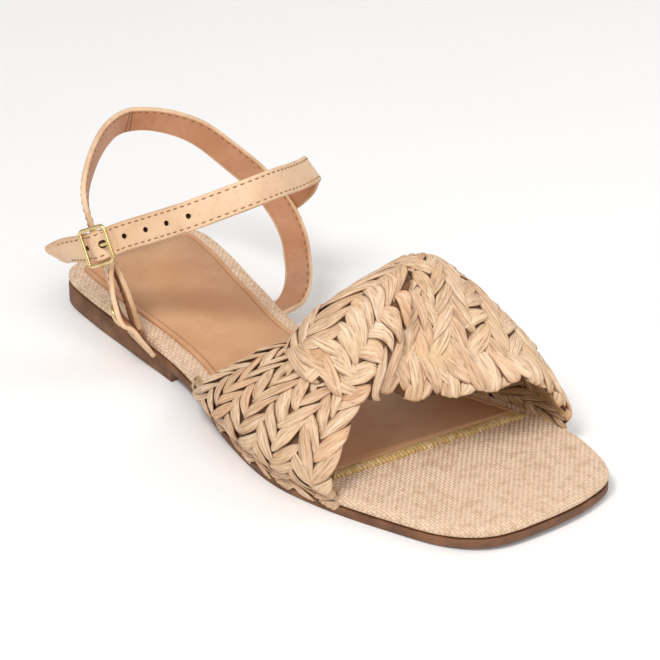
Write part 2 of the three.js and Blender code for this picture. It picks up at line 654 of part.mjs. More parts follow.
// Everything in front of the sock's slanting front edge
const sockOuter = point(SOCK_FRONT_OUTER, -0.79, 0, 0);
const sockInner = point(SOCK_FRONT_INNER, 0.89, 0, 0);
function ahead(distance) {
  const across = sockInner.clone().sub(sockOuter).normalize();
  const forward = at(across.y, -across.x, 0);
  const from = sockOuter.clone().addScaledVector(forward, distance);
  const corners = [[-1, 0], [1, 0], [1, 1], [-1, 1]].map(([a, b]) => {
    const p = from.clone().addScaledVector(across, a * SOLE_LENGTH).addScaledVector(forward, b * SOLE_LENGTH);
    return new THREE.Vector2(p.x, p.y);
  });
  const depth = 2 * VAMP_HEIGHT;
  const slab = new THREE.ExtrudeGeometry(new THREE.Shape(corners), { depth, bevelEnabled: false });
  return solid(slab.translate(0, 0, -VAMP_HEIGHT / 2));
}

const halfBoard = BOARD_THICKNESS / 2;
// Rounded edge of the board: share of its rounding, share of half its thickness
const BOARD_EDGE = [[1, 0], [0.38, 0.25], [0.08, 0.7], [0.04, 1.25], [0.35, 1.75], [1, 2]];
const boardSlab = layer(BOARD_EDGE.map(([inset, rise]) => (
  { inset: inset * BOARD_EDGE_ROUND, rise: FIT_GAP + rise * halfBoard })), soleTop);
const clearance = wings(FIT_GAP, 1);
const wingRoom = [-2 * FIT_GAP, 0, 2 * FIT_GAP].flatMap((shift) =>
  [clearance.outerWing, clearance.innerWing].map((wing) => wing.translate([0, shift, 0])));
const footbed = largest([...wingRoom, quarterBand(FIT_GAP), ankleBand(FIT_GAP)]
  .reduce((made, room) => made.subtract(room), boardSlab));
const sock = layer([
  { inset: SOCK_INSET + SOCK_EDGE_ROUND / 2, rise: FIT_GAP },
  { inset: SOCK_INSET, rise: FIT_GAP + SOCK_THICKNESS / 2 },
  { inset: SOCK_INSET + SOCK_EDGE_ROUND, rise: FIT_GAP + SOCK_THICKNESS },
], boardTop).subtract(ahead(0));
const weltSlab = layer([
  { inset: SOCK_INSET - WELT_OVERHANG * 0.6, rise: FIT_GAP },
  { inset: SOCK_INSET - WELT_OVERHANG, rise: FIT_GAP + WELT_HEIGHT * 0.6 },
  { inset: SOCK_INSET, rise: FIT_GAP + WELT_HEIGHT },
], boardTop);
const welt = weltSlab.intersect(ahead(FIT_GAP)).subtract(ahead(FIT_GAP + WELT_WIDTH));

const pieces = [
  ["outsole", outsoleSolid(), SOLE_BROWN],
  ["footbed", footbed, RAFFIA_CLOTH],
  ["insole", sock, SOCK_LEATHER],
  ["toe_welt", welt, RAFFIA_CLOTH],
  ["upper", upper, RAFFIA],
  ["quarter", quarterSolid(), STRAP_LEATHER],
  ["ankle_strap", ankleBand(0).subtract(belowSeat), STRAP_LEATHER],
  ["buckle_strap", buckleStrapSolid(), STRAP_LEATHER],
  ["buckle_frame", placed(buckleFrameSolid(), buckleMatrix), PALE_GOLD],
  ["buckle_prong", placed(prongSolid(), buckleMatrix), PALE_GOLD],
  ["rivet", rivetSolid(), PALE_GOLD],
];
const group = new THREE.Group();
pieces.forEach(([name, body, finish]) => {
  const mesh = new THREE.Mesh(geometryOf(body), finish.clone());
  mesh.name = name;
  group.add(mesh);
});
// The origin is on the ground, at the middle of the whole sandal
const whole = new THREE.Box3().setFromObject(group);
group.position.set(-(whole.min.x + whole.max.x) / 2, -(whole.min.y + whole.max.y) / 2, -whole.min.z);
group.updateMatrixWorld(true);

export default group;
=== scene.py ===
import math
import random

import bmesh
import bpy
import numpy as np
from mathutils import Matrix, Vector


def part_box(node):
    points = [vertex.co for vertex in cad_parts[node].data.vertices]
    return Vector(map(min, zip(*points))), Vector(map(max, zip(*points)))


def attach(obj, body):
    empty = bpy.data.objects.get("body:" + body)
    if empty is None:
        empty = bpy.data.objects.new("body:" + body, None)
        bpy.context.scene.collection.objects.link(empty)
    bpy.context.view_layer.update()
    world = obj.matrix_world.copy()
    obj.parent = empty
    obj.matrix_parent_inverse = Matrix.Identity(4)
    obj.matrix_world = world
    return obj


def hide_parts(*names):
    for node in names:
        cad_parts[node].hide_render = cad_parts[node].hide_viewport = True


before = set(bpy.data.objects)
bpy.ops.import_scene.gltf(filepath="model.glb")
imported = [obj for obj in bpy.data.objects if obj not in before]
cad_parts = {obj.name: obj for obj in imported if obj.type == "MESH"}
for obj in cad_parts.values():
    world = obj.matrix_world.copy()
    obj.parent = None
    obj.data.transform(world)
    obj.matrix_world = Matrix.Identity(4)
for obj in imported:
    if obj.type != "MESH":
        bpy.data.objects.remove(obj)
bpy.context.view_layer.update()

# Lengths are in millimetres until a mesh is made. Toe towards -Y, inner side towards +X.
MM = 0.001
SOLE_LENGTH = 245
BALL_HALF_WIDTH = 46
VAMP_HEIGHT = 76
ANKLE_HEIGHT = 78
FIT_GAP = 0.3

HEEL_LIFT = 8.4
SOLE_THICKNESS = 3.2
TOE_SPRING = 2.0
HEEL_BLOCK_LENGTH = 82
ARCH_START = 0.245
ARCH_END = 0.61
TOE_BEND = 0.82

BOARD_THICKNESS = 4.6
SOCK_THICKNESS = 1.0
SOCK_INSET = 6.3
SOCK_FRONT_OUTER = 0.725
SOCK_FRONT_INNER = 0.768
WELT_WIDTH = 4.4
WELT_HEIGHT = 1.5

BRAID_WALL = 2.6
KNOT_WALL = 6.0

ANKLE_STRAP_WIDTH = 10.8
ANKLE_STRAP_THICKNESS = 2.0
BUCKLE_STRAP_WIDTH = 11.0
BUCKLE_STRAP_THICKNESS = 1.8
HOLE_PITCH = 9.5
HOLE_COUNT = 6
HOLE_DIAMETER = 2.0
PRONG_HOLE_DIAMETER = 3.0
PRONG_HOLE_AT = 3.0
FREE_END = 34.2
BUCKLE_WIRE = 1.5
BUCKLE_BAR_SPACING = 6.3
BUCKLE_SIDE_ROOM = 0.5
BUCKLE_CORNER = 1.6
PRONG_WIRE = 1.2
RIVET_DIAMETER = 9
RIVET_HEIGHT = 1.6
RIVET_AT = 0.33
RIVET_SEAT = 0.45


def point(along, across, up, height):
    """Shares to a point: along from the heel, across towards the inner side, up from the ground."""
    return np.array((across * BALL_HALF_WIDTH, (0.5 - along) * SOLE_LENGTH, up * height))


def along_of(y):
    return 0.5 - y / SOLE_LENGTH


def smooth(t):
    t = np.clip(t, 0, 1)
    return t * t * (3 - 2 * t)


def unit(v):
    return v / np.linalg.norm(v, axis=-1, keepdims=True)


def spline(points, t, closed=False, even=True):
    """A curve through the points: evenly paced, or paced by the distances between them."""
    count = len(points)
    place = t * (count if closed else count - 1)
    first = min(int(place), count - (1 if closed else 2))
    f = place - first
    if closed:
        a, b, c, d = (points[(first + k) % count] for k in (-1, 0, 1, 2))
    else:
        b, c = points[first], points[first + 1]
        a = points[first - 1] if first > 0 else 2 * b - c
        d = points[first + 2] if first + 2 < count else 2 * c - b
    if even:
        start, end = (c - a) / 2, (d - b) / 2
    else:
        da, db, dc = (math.sqrt(np.linalg.norm(q - p)) for p, q in ((a, b), (b, c), (c, d)))
        start = ((b - a) / da - (c - a) / (da + db) + (c - b) / db) * db
        end = ((c - b) / db - (d - b) / (db + dc) + (d - c) / dc) * db
    return b + start * f + (3 * (c - b) - 2 * start - end) * f * f + (2 * (b - c) + start + end) * f**3


# Outline of the sole, round from the middle of the heel: along, across
OUTLINE = [
    (0.003, 0.0), (0.012, 0.42), (0.048, 0.68), (0.138, 0.638), (0.26, 0.481), (0.402, 0.36),
    (0.543, 0.601), (0.684, 0.875), (0.784, 1.027), (0.884, 1.018), (0.969, 0.857), (0.996, 0.56),
    (1.0, 0.12), (0.986, -0.34), (0.938, -0.62), (0.851, -0.815), (0.75, -0.993), (0.649, -1.075),
    (0.525, -0.983), (0.382, -0.79), (0.237, -0.737), (0.112, -0.7), (0.03, -0.62), (0.007, -0.36),
]
OUTLINE_COUNT = 9 * len(OUTLINE)
outline = np.array([
    spline([point(*share, 0, 0) for share in OUTLINE], i / OUTLINE_COUNT, closed=True)
    for i in range(OUTLINE_COUNT)
])
outline_run = unit(np.roll(outline, -1, axis=0) - np.roll(outline, 1, axis=0))
outline_inward = np.stack([-outline_run[:, 1], outline_run[:, 0], 0 * outline_run[:, 0]], axis=1)
if outline_inward[0, 1] > 0:
    outline_inward = -outline_inward

# The CAD's origin is in the middle of the whole sandal, so its outsole tells how far it was moved
sole_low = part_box("outsole")[0]
SHIFT = np.array((sole_low.x / MM - outline[:, 0].min(), sole_low.y / MM - outline[:, 1].min(), 0))
# How far along the sole the points of its edge lie that are averaged
EDGE_NEAR = 2.5


def edge_at(along, side):
    """Half width of the sole at a share of its length, on the inner (+1) or outer (-1) side."""
    y = (0.5 - along) * SOLE_LENGTH
    near = [p for p in outline if side * p[0] > 0 and abs(p[1] - y) < EDGE_NEAR]
    weights = [1 / (0.05 + abs(p[1] - y)) for p in near]
    return float(np.average([p[0] for p in near], weights=weights))


def sole_top(along):
    arch = smooth((along - ARCH_START) / (ARCH_END - ARCH_START))
    toe = np.maximum(0, (along - TOE_BEND) / (1 - TOE_BEND))
    return HEEL_LIFT + (SOLE_THICKNESS - HEEL_LIFT) * arch + TOE_SPRING * toe * toe


def board_top(along):
    return sole_top(along) + FIT_GAP + BOARD_THICKNESS


# Materials

def colour(red, green, blue):
    """A colour as a screen shows it, 0 to 255, to the linear light that shaders use."""
    shares = (c / 255 for c in (red, green, blue))
    return (*(c / 12.92 if c <= 0.04045 else ((c + 0.055) / 1.055) ** 2.4 for c in shares), 1.0)


class Link:
    """An output of a material's nodes. Sums written with it add Math nodes."""

    def __init__(self, finish, socket):
        self.finish = finish
        self.socket = socket

    def math(self, operation, *others):
        return self.finish.node("Math", {"operation": operation}, dict(enumerate((self, *others))))

    def __add__(self, other):
        return self.math("ADD", other)

    def __sub__(self, other):
        return self.math("SUBTRACT", other)

    def __mul__(self, other):
        return self.math("MULTIPLY", other)

    def __rsub__(self, other):
        return (self * -1).math("ADD", other)

    __radd__ = __add__
    __rmul__ = __mul__

    def over(self, limit):
        return self.math("GREATER_THAN", limit)

    def between(self, low, high):
        """0 at low and 1 at high, with soft ends."""
        settings = {"interpolation_type": "SMOOTHSTEP"}
        return self.finish.node("MapRange", settings, {"Value": self, "From Min": low, "From Max": high})


def socket_names(values):
    """base_color=... to the shader's own "Base Color"."""
    return {key.replace("_", " ").title().replace("Ior", "IOR"): v for key, v in values.items()}


class Finish:
    """A material with one Principled shader."""

    def __init__(self, name, **numbers):
        self.material = bpy.data.materials.new(name)
        self.material.use_nodes = True
        self.tree = self.material.node_tree
        self.shader = self.tree.nodes["Principled BSDF"]
        self.feed(self.shader, socket_names(numbers))

    def feed(self, node, sockets):
        for key, value in sockets.items():
            if isinstance(value, Link):
                self.tree.links.new(value.socket, node.inputs[key])
            else:
                node.inputs[key].default_value = value

    def node(self, kind, settings=None, sockets=None, output=0):
        made = self.tree.nodes.new("ShaderNode" + kind)
        for key, value in (settings or {}).items():
            setattr(made, key, value)
        self.feed(made, sockets or {})
        return Link(self, made.outputs[output])

    def place(self):
        return self.node("TexCoord", output="Object")

    def parts(self, vector):
        split = self.node("SeparateXYZ", None, {0: vector}).socket.node
        return [Link(self, socket) for socket in split.outputs]

    def vector(self, x, y, z):
        return self.node("CombineXYZ", None, {0: x, 1: y, 2: z})

    def noise(self, place, size, detail=3, roughness=0.5):
        """Soft noise from 0 to 1 with blobs of a size in the units of the place."""
        sockets = {"Vector": place, "Scale": 1 / size, "Detail": detail, "Roughness": roughness}
        return self.node("TexNoise", None, sockets)

    def pores(self, place, size):
        return self.node("TexVoronoi", {"feature": "F1"}, {"Vector": place, "Scale": 1 / size})

    def share(self, number):
        """A random share from 0 to 1, the same for the same number."""
        return self.node("TexWhiteNoise", {"noise_dimensions": "1D"}, {"W": number})

    def mix(self, factor, first, second):
        return self.node("Mix", {"data_type": "RGBA"}, {0: factor, 6: first, 7: second}, output=2)

    def bump(self, height, depth):
        return self.node("Bump", None, {"Height": height, "Strength": 1.0, "Distance": depth * MM})

    def show(self, **links):
        self.feed(self.shader, socket_names(links))
        return self.material


def raffia(name, pale, tan, dark, depth=0.5):
    """Dried palm leaf: fibres along the strip, every strip of its own tint, painted shade in the creases."""
    f = Finish(name, specular_ior_level=0.4)
    grain = f.node("Attribute", {"attribute_name": "grain"}, output="Vector")
    run, across, height = f.parts(grain)
    strip = f.node("NewGeometry", output="Random Per Island")
    shade = f.share(strip * 917)
    fibres = f.noise(f.vector(run * 0.1, across + strip * 40, strip * 90), 0.42, detail=2)
    streaks = f.noise(f.vector(run * 0.12, across + strip * 70, strip * 50), 1.25, detail=2)
    patches = f.noise(f.place(), 11 * MM, detail=2)
    tint = f.mix(shade, pale, tan)
    tint = f.mix(streaks.between(0.5, 0.72) * 0.6, tint, colour(246, 224, 196))
    tint = f.mix((1 - streaks.between(0.26, 0.46)) * 0.4, tint, dark)
    tint = f.mix(fibres.between(0.48, 0.68) * 0.5, tint, dark)
    tint = f.mix(patches.between(0.52, 0.74) * 0.25, tint, colour(216, 184, 128))
    tint = f.mix(strip.between(0.84, 0.97) * 0.3, tint, colour(214, 152, 104))
    flecks = f.noise(f.place(), 1.5, detail=3)
    tint = f.mix(flecks.between(0.52, 0.7) * 0.4, tint, colour(250, 230, 204))
    # Painted shade: darker where the strip lies low, in its creases and along its edges
    tint = f.mix((1 - height.between(0.06, 0.5)) * 0.92, tint, dark)
    rise = fibres * 0.5 + streaks * 0.9
    return f.show(base_color=tint, roughness=0.46 + fibres * 0.3, normal=f.bump(rise, depth))


def woven(name, pale, tan, dark, pitch):
    """Fine plain weave of split raffia, a little uneven, each thread of its own tint."""
    f = Finish(name, roughness=0.8, specular_ior_level=0.25)
    place = f.place()
    sway = f.noise(place, 7 * MM, detail=2)
    x, y, z = f.parts(place)
    warp = (x + z * 0.5) * (1 / (pitch * MM)) + sway * 1.1
    weft = (y + z * 0.86) * (1 / (pitch * MM)) + sway * 0.9
    wave_x = (warp * math.pi).math("SINE")
    wave_y = (weft * math.pi).math("SINE")
    over = (wave_x * wave_y).over(0)
    hump = over * wave_x.math("ABSOLUTE") + (1 - over) * wave_y.math("ABSOLUTE")
    thread = over * f.share(warp.math("FLOOR")) + (1 - over) * f.share(weft.math("FLOOR") + 500)
    blotch = f.noise(place, 3.2 * MM, detail=3)
    fine = f.noise(place, 0.5 * MM, detail=2)
    tint = f.mix(thread * 0.8, pale, tan)
    tint = f.mix(blotch.between(0.45, 0.7) * 0.4, tint, dark)
    tint = f.mix(fine.between(0.58, 0.74) * 0.7, tint, colour(252, 236, 208))
    # Painted shade: darker where the threads dip under each other
    tint = f.mix((1 - hump.between(0.0, 0.55)) * 0.45, tint, dark)
    return f.show(base_color=tint, normal=f.bump(hump + fine * 0.6, 0.34))


def leather(name, main, light, dark, roughness=0.45):
    """Smooth calf: fine pores, soft cloudy colour and a few darker rubbed spots."""
    f = Finish(name, roughness=roughness)
    place = f.place()
    pores = f.pores(place, 0.35 * MM)
    crumple = f.noise(place, 2.2 * MM, detail=4)
    cloud = f.noise(place, 16 * MM, detail=3)
    rubbed = f.noise(place, 5 * MM, detail=5, roughness=0.62)
    tint = f.mix(cloud.between(0.35, 0.7), main, light)
    tint = f.mix(crumple.between(0.5, 0.8) * 0.3, tint, dark)
    tint = f.mix(rubbed.between(0.62, 0.8) * 0.25, tint, dark)
    height = pores * 0.35 + crumple * 0.5
    shine = crumple * 0.2 + (roughness - 0.08)
    return f.show(base_color=tint, roughness=shine, normal=f.bump(height, 0.09))


def sock_leather(main, light, dark):
    """The sock's tan leather, cloudy and finely creased."""
    f = Finish("tan sock leather", roughness=0.5, specular_ior_level=0.35)
    place = f.place()
    cloud = f.noise(place, 22 * MM, detail=4)
    crumple = f.noise(place, 1.6 * MM, detail=4)
    pores = f.pores(place, 0.4 * MM)
    tint = f.mix(cloud.between(0.35, 0.7), main, light)
    tint = f.mix(crumple.between(0.55, 0.8) * 0.25, tint, dark)
    height = pores * 0.3 + crumple * 0.5
    return f.show(base_color=tint, roughness=0.42 + crumple * 0.22, normal=f.bump(height, 0.08))


def sole_finish(name, main, light, dark):
    """Moulded brown sole: matt, with fine drag marks and a few scuffs."""
    f = Finish(name, roughness=0.55)
    place = f.place()
    x, y, z = f.parts(place)
    layers = f.noise(f.vector(x * 0.08, y * 0.08, z), 0.5 * MM, detail=2)
    cloud = f.noise(place, 9 * MM, detail=4)
    scuffs = f.noise(f.vector(x * 0.3, y * 0.3, z * 1.4), 1.8 * MM, detail=5, roughness=0.65)
    tint = f.mix(cloud.between(0.3, 0.7), main, dark)
    tint = f.mix(scuffs.between(0.6, 0.78) * 0.5, tint, light)
    tint = f.mix(layers.between(0.5, 0.75) * 0.3, tint, dark)
    return f.show(base_color=tint, roughness=0.45 + scuffs * 0.25, normal=f.bump(layers + scuffs, 0.08))


def gold_finish():
    """Pale gold plate with hair-fine scratches."""
    f = Finish("pale gold", metallic=1.0, roughness=0.25)
    place = f.place()
    haze = f.noise(place, 2.5 * MM, detail=3)
    lines = f.noise(place, 0.25 * MM, detail=2)
    tint = f.mix(haze.between(0.35, 0.7), colour(236, 214, 160), colour(216, 188, 128))
    return f.show(base_color=tint, roughness=0.16 + haze * 0.2, normal=f.bump(lines, 0.01))


def plain(name, main, second, size, roughness):
    f = Finish(name, roughness=roughness)
    tint = f.mix(f.noise(f.place(), size * MM).between(0.35, 0.65), main, second)
    return f.show(base_color=tint)


BRAID_FINISHES = [
    raffia("straw raffia", colour(230, 197, 163), colour(213, 175, 138), colour(116, 74, 44)),
    # The inside faces: the same raffia, darker as painted shade
    raffia("raffia inside in painted shade", colour(206, 168, 122), colour(180, 138, 92), colour(92, 56, 30)),
    # Painted shade: the dark brown seen between the strips
    plain("painted shade between the strips", colour(118, 78, 48), colour(84, 52, 30), 3, 0.9),
]
OUTSIDE, INSIDE, BETWEEN = range(len(BRAID_FINISHES))
RAFFIA_CLOTH = woven(
    "raffia cloth", colour(247, 217, 188), colour(235, 200, 167), colour(190, 146, 106), 1.2)
WELT_CLOTH = raffia(
    "folded raffia edge", colour(226, 196, 132), colour(206, 168, 102), colour(128, 88, 46))
STRAP_FINISHES = [
    leather("nude strap leather", colour(218, 178, 140), colour(228, 192, 156), colour(190, 146, 108)),
    leather("cut strap edge", colour(206, 166, 128), colour(232, 198, 162), colour(150, 106, 70), 0.7),
    leather("tan strap lining", colour(184, 130, 94), colour(198, 146, 110), colour(150, 98, 64), 0.5),
    # Painted shade: the dark seen down the punched holes and in the cuts where straps pass
    plain("painted shade inside the punched holes", colour(70, 42, 26), colour(50, 30, 18), 0.5, 0.8),
]
FACE, EDGE, LINING, HOLE = range(len(STRAP_FINISHES))
SOCK = sock_leather(colour(200, 148, 108), colour(212, 164, 124), colour(160, 106, 68))
SOCK_SEAM = plain("pressed line of the sock", colour(122, 78, 48), colour(140, 92, 60), 2, 0.7)
SOLE = sole_finish("brown sole", colour(132, 88, 56), colour(156, 110, 74), colour(96, 60, 36))
GOLD = gold_finish()
THREAD = plain("brown thread", colour(120, 80, 48), colour(150, 106, 70), 0.4, 0.75)


# Meshes

# Points this near to each other are one point
SAME_PLACE = 0.0001


def closed_up(mesh):
    """Joins points in the same place and turns every closed part's faces outwards."""
    bm = bmesh.new()
    bm.from_mesh(mesh)
    bmesh.ops.remove_doubles(bm, verts=bm.verts, dist=SAME_PLACE * MM)
    bmesh.ops.recalc_face_normals(bm, faces=bm.faces)
    bm.to_mesh(mesh)
    bm.free()


def trim(made, place, facing):
    """Takes off all of a piece that lies past a flat cut, and closes it there."""
    bm = bmesh.new()
    bm.from_mesh(made.data)
    bmesh.ops.bisect_plane(
        bm, geom=[*bm.verts, *bm.edges, *bm.faces], plane_co=Vector(place + SHIFT) * MM,
        plane_no=Vector(facing), clear_outer=True)
    bmesh.ops.holes_fill(bm, edges=[e for e in bm.edges if e.is_boundary])
    bm.to_mesh(made.data)
    bm.free()


def mesh_object(name, vertices, faces, finishes, face_finish, grain=None):
    """An object in the CAD's frame from points in millimetres."""
    mesh = bpy.data.meshes.new(name)
    places = (np.asarray(vertices, float).reshape(-1, 3) + SHIFT) * MM
    mesh.from_pydata(places.tolist(), [], [list(map(int, f)) for f in faces])
    for finish in finishes:
        mesh.materials.append(finish)
    mesh.polygons.foreach_set("material_index", np.asarray(face_finish, np.int32))
    if grain:
        layer = mesh.attributes.new("grain", "FLOAT_VECTOR", "POINT")
        layer.data.foreach_set("vector", np.asarray(grain, np.float32).ravel())
    mesh.validate()
    closed_up(mesh)
    made = bpy.data.objects.new(name, mesh)
    bpy.context.scene.collection.objects.link(made)
    return made


class Shell:
    """Vertices and faces that pile up into one mesh."""

    def __init__(self):
        self.vertices = []
        self.faces = []
        self.finish = []
        self.grain = []

    def add(self, vertices, faces, finish=0, grain=None):
        start = len(self.vertices)
        self.vertices.extend(np.asarray(vertices).reshape(-1, 3).tolist())
        self.faces.extend([start + i for i in face] for face in faces)
        self.finish.extend([finish] * len(faces) if isinstance(finish, int) else finish)
        if grain is not None:
            self.grain.extend(np.asarray(grain).reshape(-1, 3).tolist())

    def add_tube(self, points, radii, **shape):
        self.add(*tube(points, radii, **shape))

    def piece(self, name, finishes, slot, *cad_nodes):
        """The mesh as a piece that rides on the sandal and stands for some of the CAD's nodes."""
        made = mesh_object(name, self.vertices, self.faces, finishes, self.finish, self.grain)
        made.data.polygons.foreach_set("use_smooth", [True] * len(made.data.polygons))
        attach(made, "root")
        if cad_nodes:
            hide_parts(*cad_nodes)
        return made


def grid_faces(rows, columns, flip=False):
    """Quads of a grid of rows x columns points."""
    faces = []
    for r in range(rows - 1):
        for c in range(columns - 1):
            a = r * columns + c
            quad = (a, a + 1, a + columns + 1, a + columns)
            faces.append(quad[::-1] if flip else quad)
    return faces


def ring_faces(rings, around, closed=False, caps=True):
    """Quads between closed rings of points, with flat ends."""
    faces = []
    for r in range(rings if closed else rings - 1):
        s = (r + 1) % rings
        for i in range(around):
            j = (i + 1) % around
            faces.append((r * around + i, r * around + j, s * around + j, s * around + i))
    if caps and not closed:
        faces.append(tuple(range(around - 1, -1, -1)))
        faces.append(tuple((rings - 1) * around + i for i in range(around)))
    return faces


def cut(made, tools):
    """Takes the space of the tools out of a piece, and drops all but its biggest connected part."""
    for part in tools:
        modifier = made.modifiers.new("Cut", "BOOLEAN")
        modifier.operation = "DIFFERENCE"
        modifier.object = part
        modifier.solver = "EXACT"
        bpy.context.view_layer.update()
        graph = bpy.context.evaluated_depsgraph_get()
        mesh = bpy.data.meshes.new_from_object(made.evaluated_get(graph), depsgraph=graph)
        made.modifiers.clear()
        made.data = mesh
        bpy.data.objects.remove(part, do_unlink=True)
    keep_largest(made)


def keep_largest(made):
    bm = bmesh.new()
    bm.from_mesh(made.data)
    left = set(bm.verts)
    parts = []
    while left:
        stack = [left.pop()]
        part = list(stack)
        while stack:
            for edge in stack.pop().link_edges:
                for v in edge.verts:
                    if v in left:
                        left.remove(v)
                        stack.append(v)
                        part.append(v)
        parts.append(part)
    parts.sort(key=len)
    bmesh.ops.delete(bm, geom=[v for part in parts[:-1] for v in part], context="VERTS")
    bm.to_mesh(made.data)
    bm.free()


def tube(points, radii, sides=10, closed=False):
    """Rings of points round a path."""
    path = np.asarray(points, float)
    if closed:
        run = unit(np.roll(path, -1, axis=0) - np.roll(path, 1, axis=0))
    else:
        run = unit(np.gradient(path, axis=0))
    side = np.cross(run[0], (0.3, 0.2, 0.93))
    rings = []
    for p, t, radius in zip(path, run, np.broadcast_to(radii, len(path))):
        side = side - t * np.dot(side, t)
        side = side / np.linalg.norm(side)
        other = np.cross(t, side)
        angles = np.linspace(0, 2 * math.pi, sides, endpoint=False)[:, None]
        rings.append(p + radius * (np.cos(angles) * side + np.sin(angles) * other))
    return np.array(rings), ring_faces(len(path), sides, closed)


# Points of the outline each way from the tip that close either end of a plate with one face
PLATE_END = 20


def plate(shell, rings, profile, finish=None):
    """A layer with the sole's outline, from rings of (inset, rise) over a height profile, with a
    finish for each stretch between two rings."""
    n = len(outline)
    places = []
    for inset, rise in rings:
        p = outline + outline_inward * inset
        p[:, 2] = profile(along_of(p[:, 1])) + rise
        places.append(p)
    faces = ring_faces(len(rings), n, caps=False)
    finishes = [k for k in (finish or [0] * (len(rings) - 1)) for _ in range(n)]
    for base, flip in ((0, True), ((len(rings) - 1) * n, False)):
        level = [(i, i + 1, n - i - 1, n - i) for i in range(PLATE_END, n // 2 - PLATE_END)]
        level.append([i % n for i in range(-PLATE_END, PLATE_END + 1)])
        level.append(range(n // 2 - PLATE_END, n // 2 + PLATE_END + 1))
        for face in level:
            face = [base + i for i in face]
            faces.append(face[::-1] if flip else face)
    finishes += [0] * (len(faces) - len(finishes))
    shell.add(np.concatenate(places), faces, finishes)


# Sole, footbed and sock

BOARD_ROUND = 2.5
BOARD_BULGE = 0.62
# How far the sock goes past its front line, under the welt
SOCK_TUCK = 0.8


def outsole():
    """The thin sole, and the heel block under its rear."""
    low = -SOLE_THICKNESS
    edge = [(1.4, low), (0.5, low), (0.15, low + 0.15), (0, low + 0.5), (0, -0.35), (0.1, -0.08), (0.4, 0),
            (1.4, 0)]
    shell = Shell()
    plate(shell, edge, sole_top)
    shell.piece("outsole_sheet", [SOLE], "sole_brown", "outsole")
    side = [(0.9, 0), (0.45, 0.08), (0.1, 0.3), (-0.04, 0.75), (-0.06, HEEL_LIFT - 0.7),
            (0.5, HEEL_LIFT - 0.5)]
    shell = Shell()
    plate(shell, side, lambda along: 0 * along)
    heel = shell.piece("heel_block", [SOLE], "sole_brown")
    trim(heel, np.array((0, SOLE_LENGTH / 2 - HEEL_BLOCK_LENGTH, 0)), (0, -1, 0))


def footbed():
    """A board with a rounded edge, wrapped in cloth."""
    top = FIT_GAP + BOARD_THICKNESS
    middle, half = (FIT_GAP + top) / 2, (top - FIT_GAP) / 2
    rings = [(SOCK_INSET, FIT_GAP)]
    for a in np.linspace(-math.pi / 2, math.pi / 2, 13):
        rings.append((BOARD_ROUND * (1 - math.cos(a) ** BOARD_BULGE), middle + half * math.sin(a)))
    rings.append((SOCK_INSET - 2, top + 0.05))
    shell = Shell()
    plate(shell, rings, sole_top)
    shell.piece("footbed_cloth", [RAFFIA_CLOTH], "raffia_cloth", "footbed")


sock_outer = point(SOCK_FRONT_OUTER, -0.79, 0, 0)
sock_inner = point(SOCK_FRONT_INNER, 0.89, 0, 0)
front_across = unit(sock_inner - sock_outer)
front_forward = np.array((front_across[1], -front_across[0], 0))


def insole():
    """The leather sock: a thin edge, a pressed line just inside it, its front under the welt."""
    top = FIT_GAP + SOCK_THICKNESS
    rings = [(1.2, 0.02), (0.2, 0.02), (0, 0.25), (0, top * 0.6), (0.25, top - 0.12), (0.8, top),
             (1.9, top + 0.04), (2.1, top - 0.22), (2.35, top - 0.24), (2.6, top + 0.04)]
    pressed = [0] * 7 + [1, 0]
    shell = Shell()
    plate(shell, [(SOCK_INSET + inset, rise) for inset, rise in rings], board_top, pressed)
    sock = shell.piece("sock", [SOCK, SOCK_SEAM], "sock_leather", "insole")
    trim(sock, sock_outer + front_forward * SOCK_TUCK, front_forward)


WELT_RIB = 1.55
WELT_END_INSET = SOCK_INSET - 2.2
STEPS_PER_RIB = 8
WELT_AROUND = 13
WELT_SWAY = 0.25


def toe_welt():
    """The folded cloth edge across the board, pleated into ribs."""
    reach = []
    for direction in (-1, 1):
        p = (sock_outer + sock_inner) / 2
        while True:
            gap = np.linalg.norm(outline[:, :2] - p[:2], axis=1).min()
            if gap < WELT_END_INSET:
                break
            p = p + direction * front_across * 0.3
        reach.append(p)
    start, end = reach
    length = np.linalg.norm(end - start)
    shell = Shell()
    steps = int(length / WELT_RIB * STEPS_PER_RIB)
    places, grain = [], []
    for k in range(steps + 1):
        s = k / steps
        fade = max(0.1, min(1, 12 * s, 12 * (1 - s))) ** 0.5
        for i in range(WELT_AROUND):
            turn = math.pi * i / (WELT_AROUND - 1)
            rib = abs(math.sin(math.pi * (s * length / WELT_RIB + 0.5 * math.cos(turn)))) ** 0.7
            out = 0.68 + 0.32 * rib
            p = start + (end - start) * s
            p = p + front_forward * (WELT_WIDTH / 2 + 0.3 - WELT_WIDTH / 2 * math.cos(turn) * out)
            p = p + front_forward * WELT_SWAY * math.sin(s * 31 + 4 * math.sin(s * 11))
            rise = (WELT_HEIGHT + 0.25) * math.sin(turn) ** 0.8 * out * fade
            places.append((p[0], p[1], board_top(along_of(p[1])) + rise))
            # The rib's height as the grain's third share: the finish darkens it where low, painted shade
            # between the ribs
            grain.append((4 * math.cos(turn), s * length, rib))
    shell.add(places, ring_faces(steps + 1, WELT_AROUND), 0, grain)
    shell.piece("toe_welt_ribs", [WELT_CLOTH], "raffia_cloth", "toe_welt")


# Plaited raffia

BASE_OUT = 0.6
OUTER_BASE = (-1, 0.408, 0.771)
INNER_BASE = (1, 0.54, 0.838)
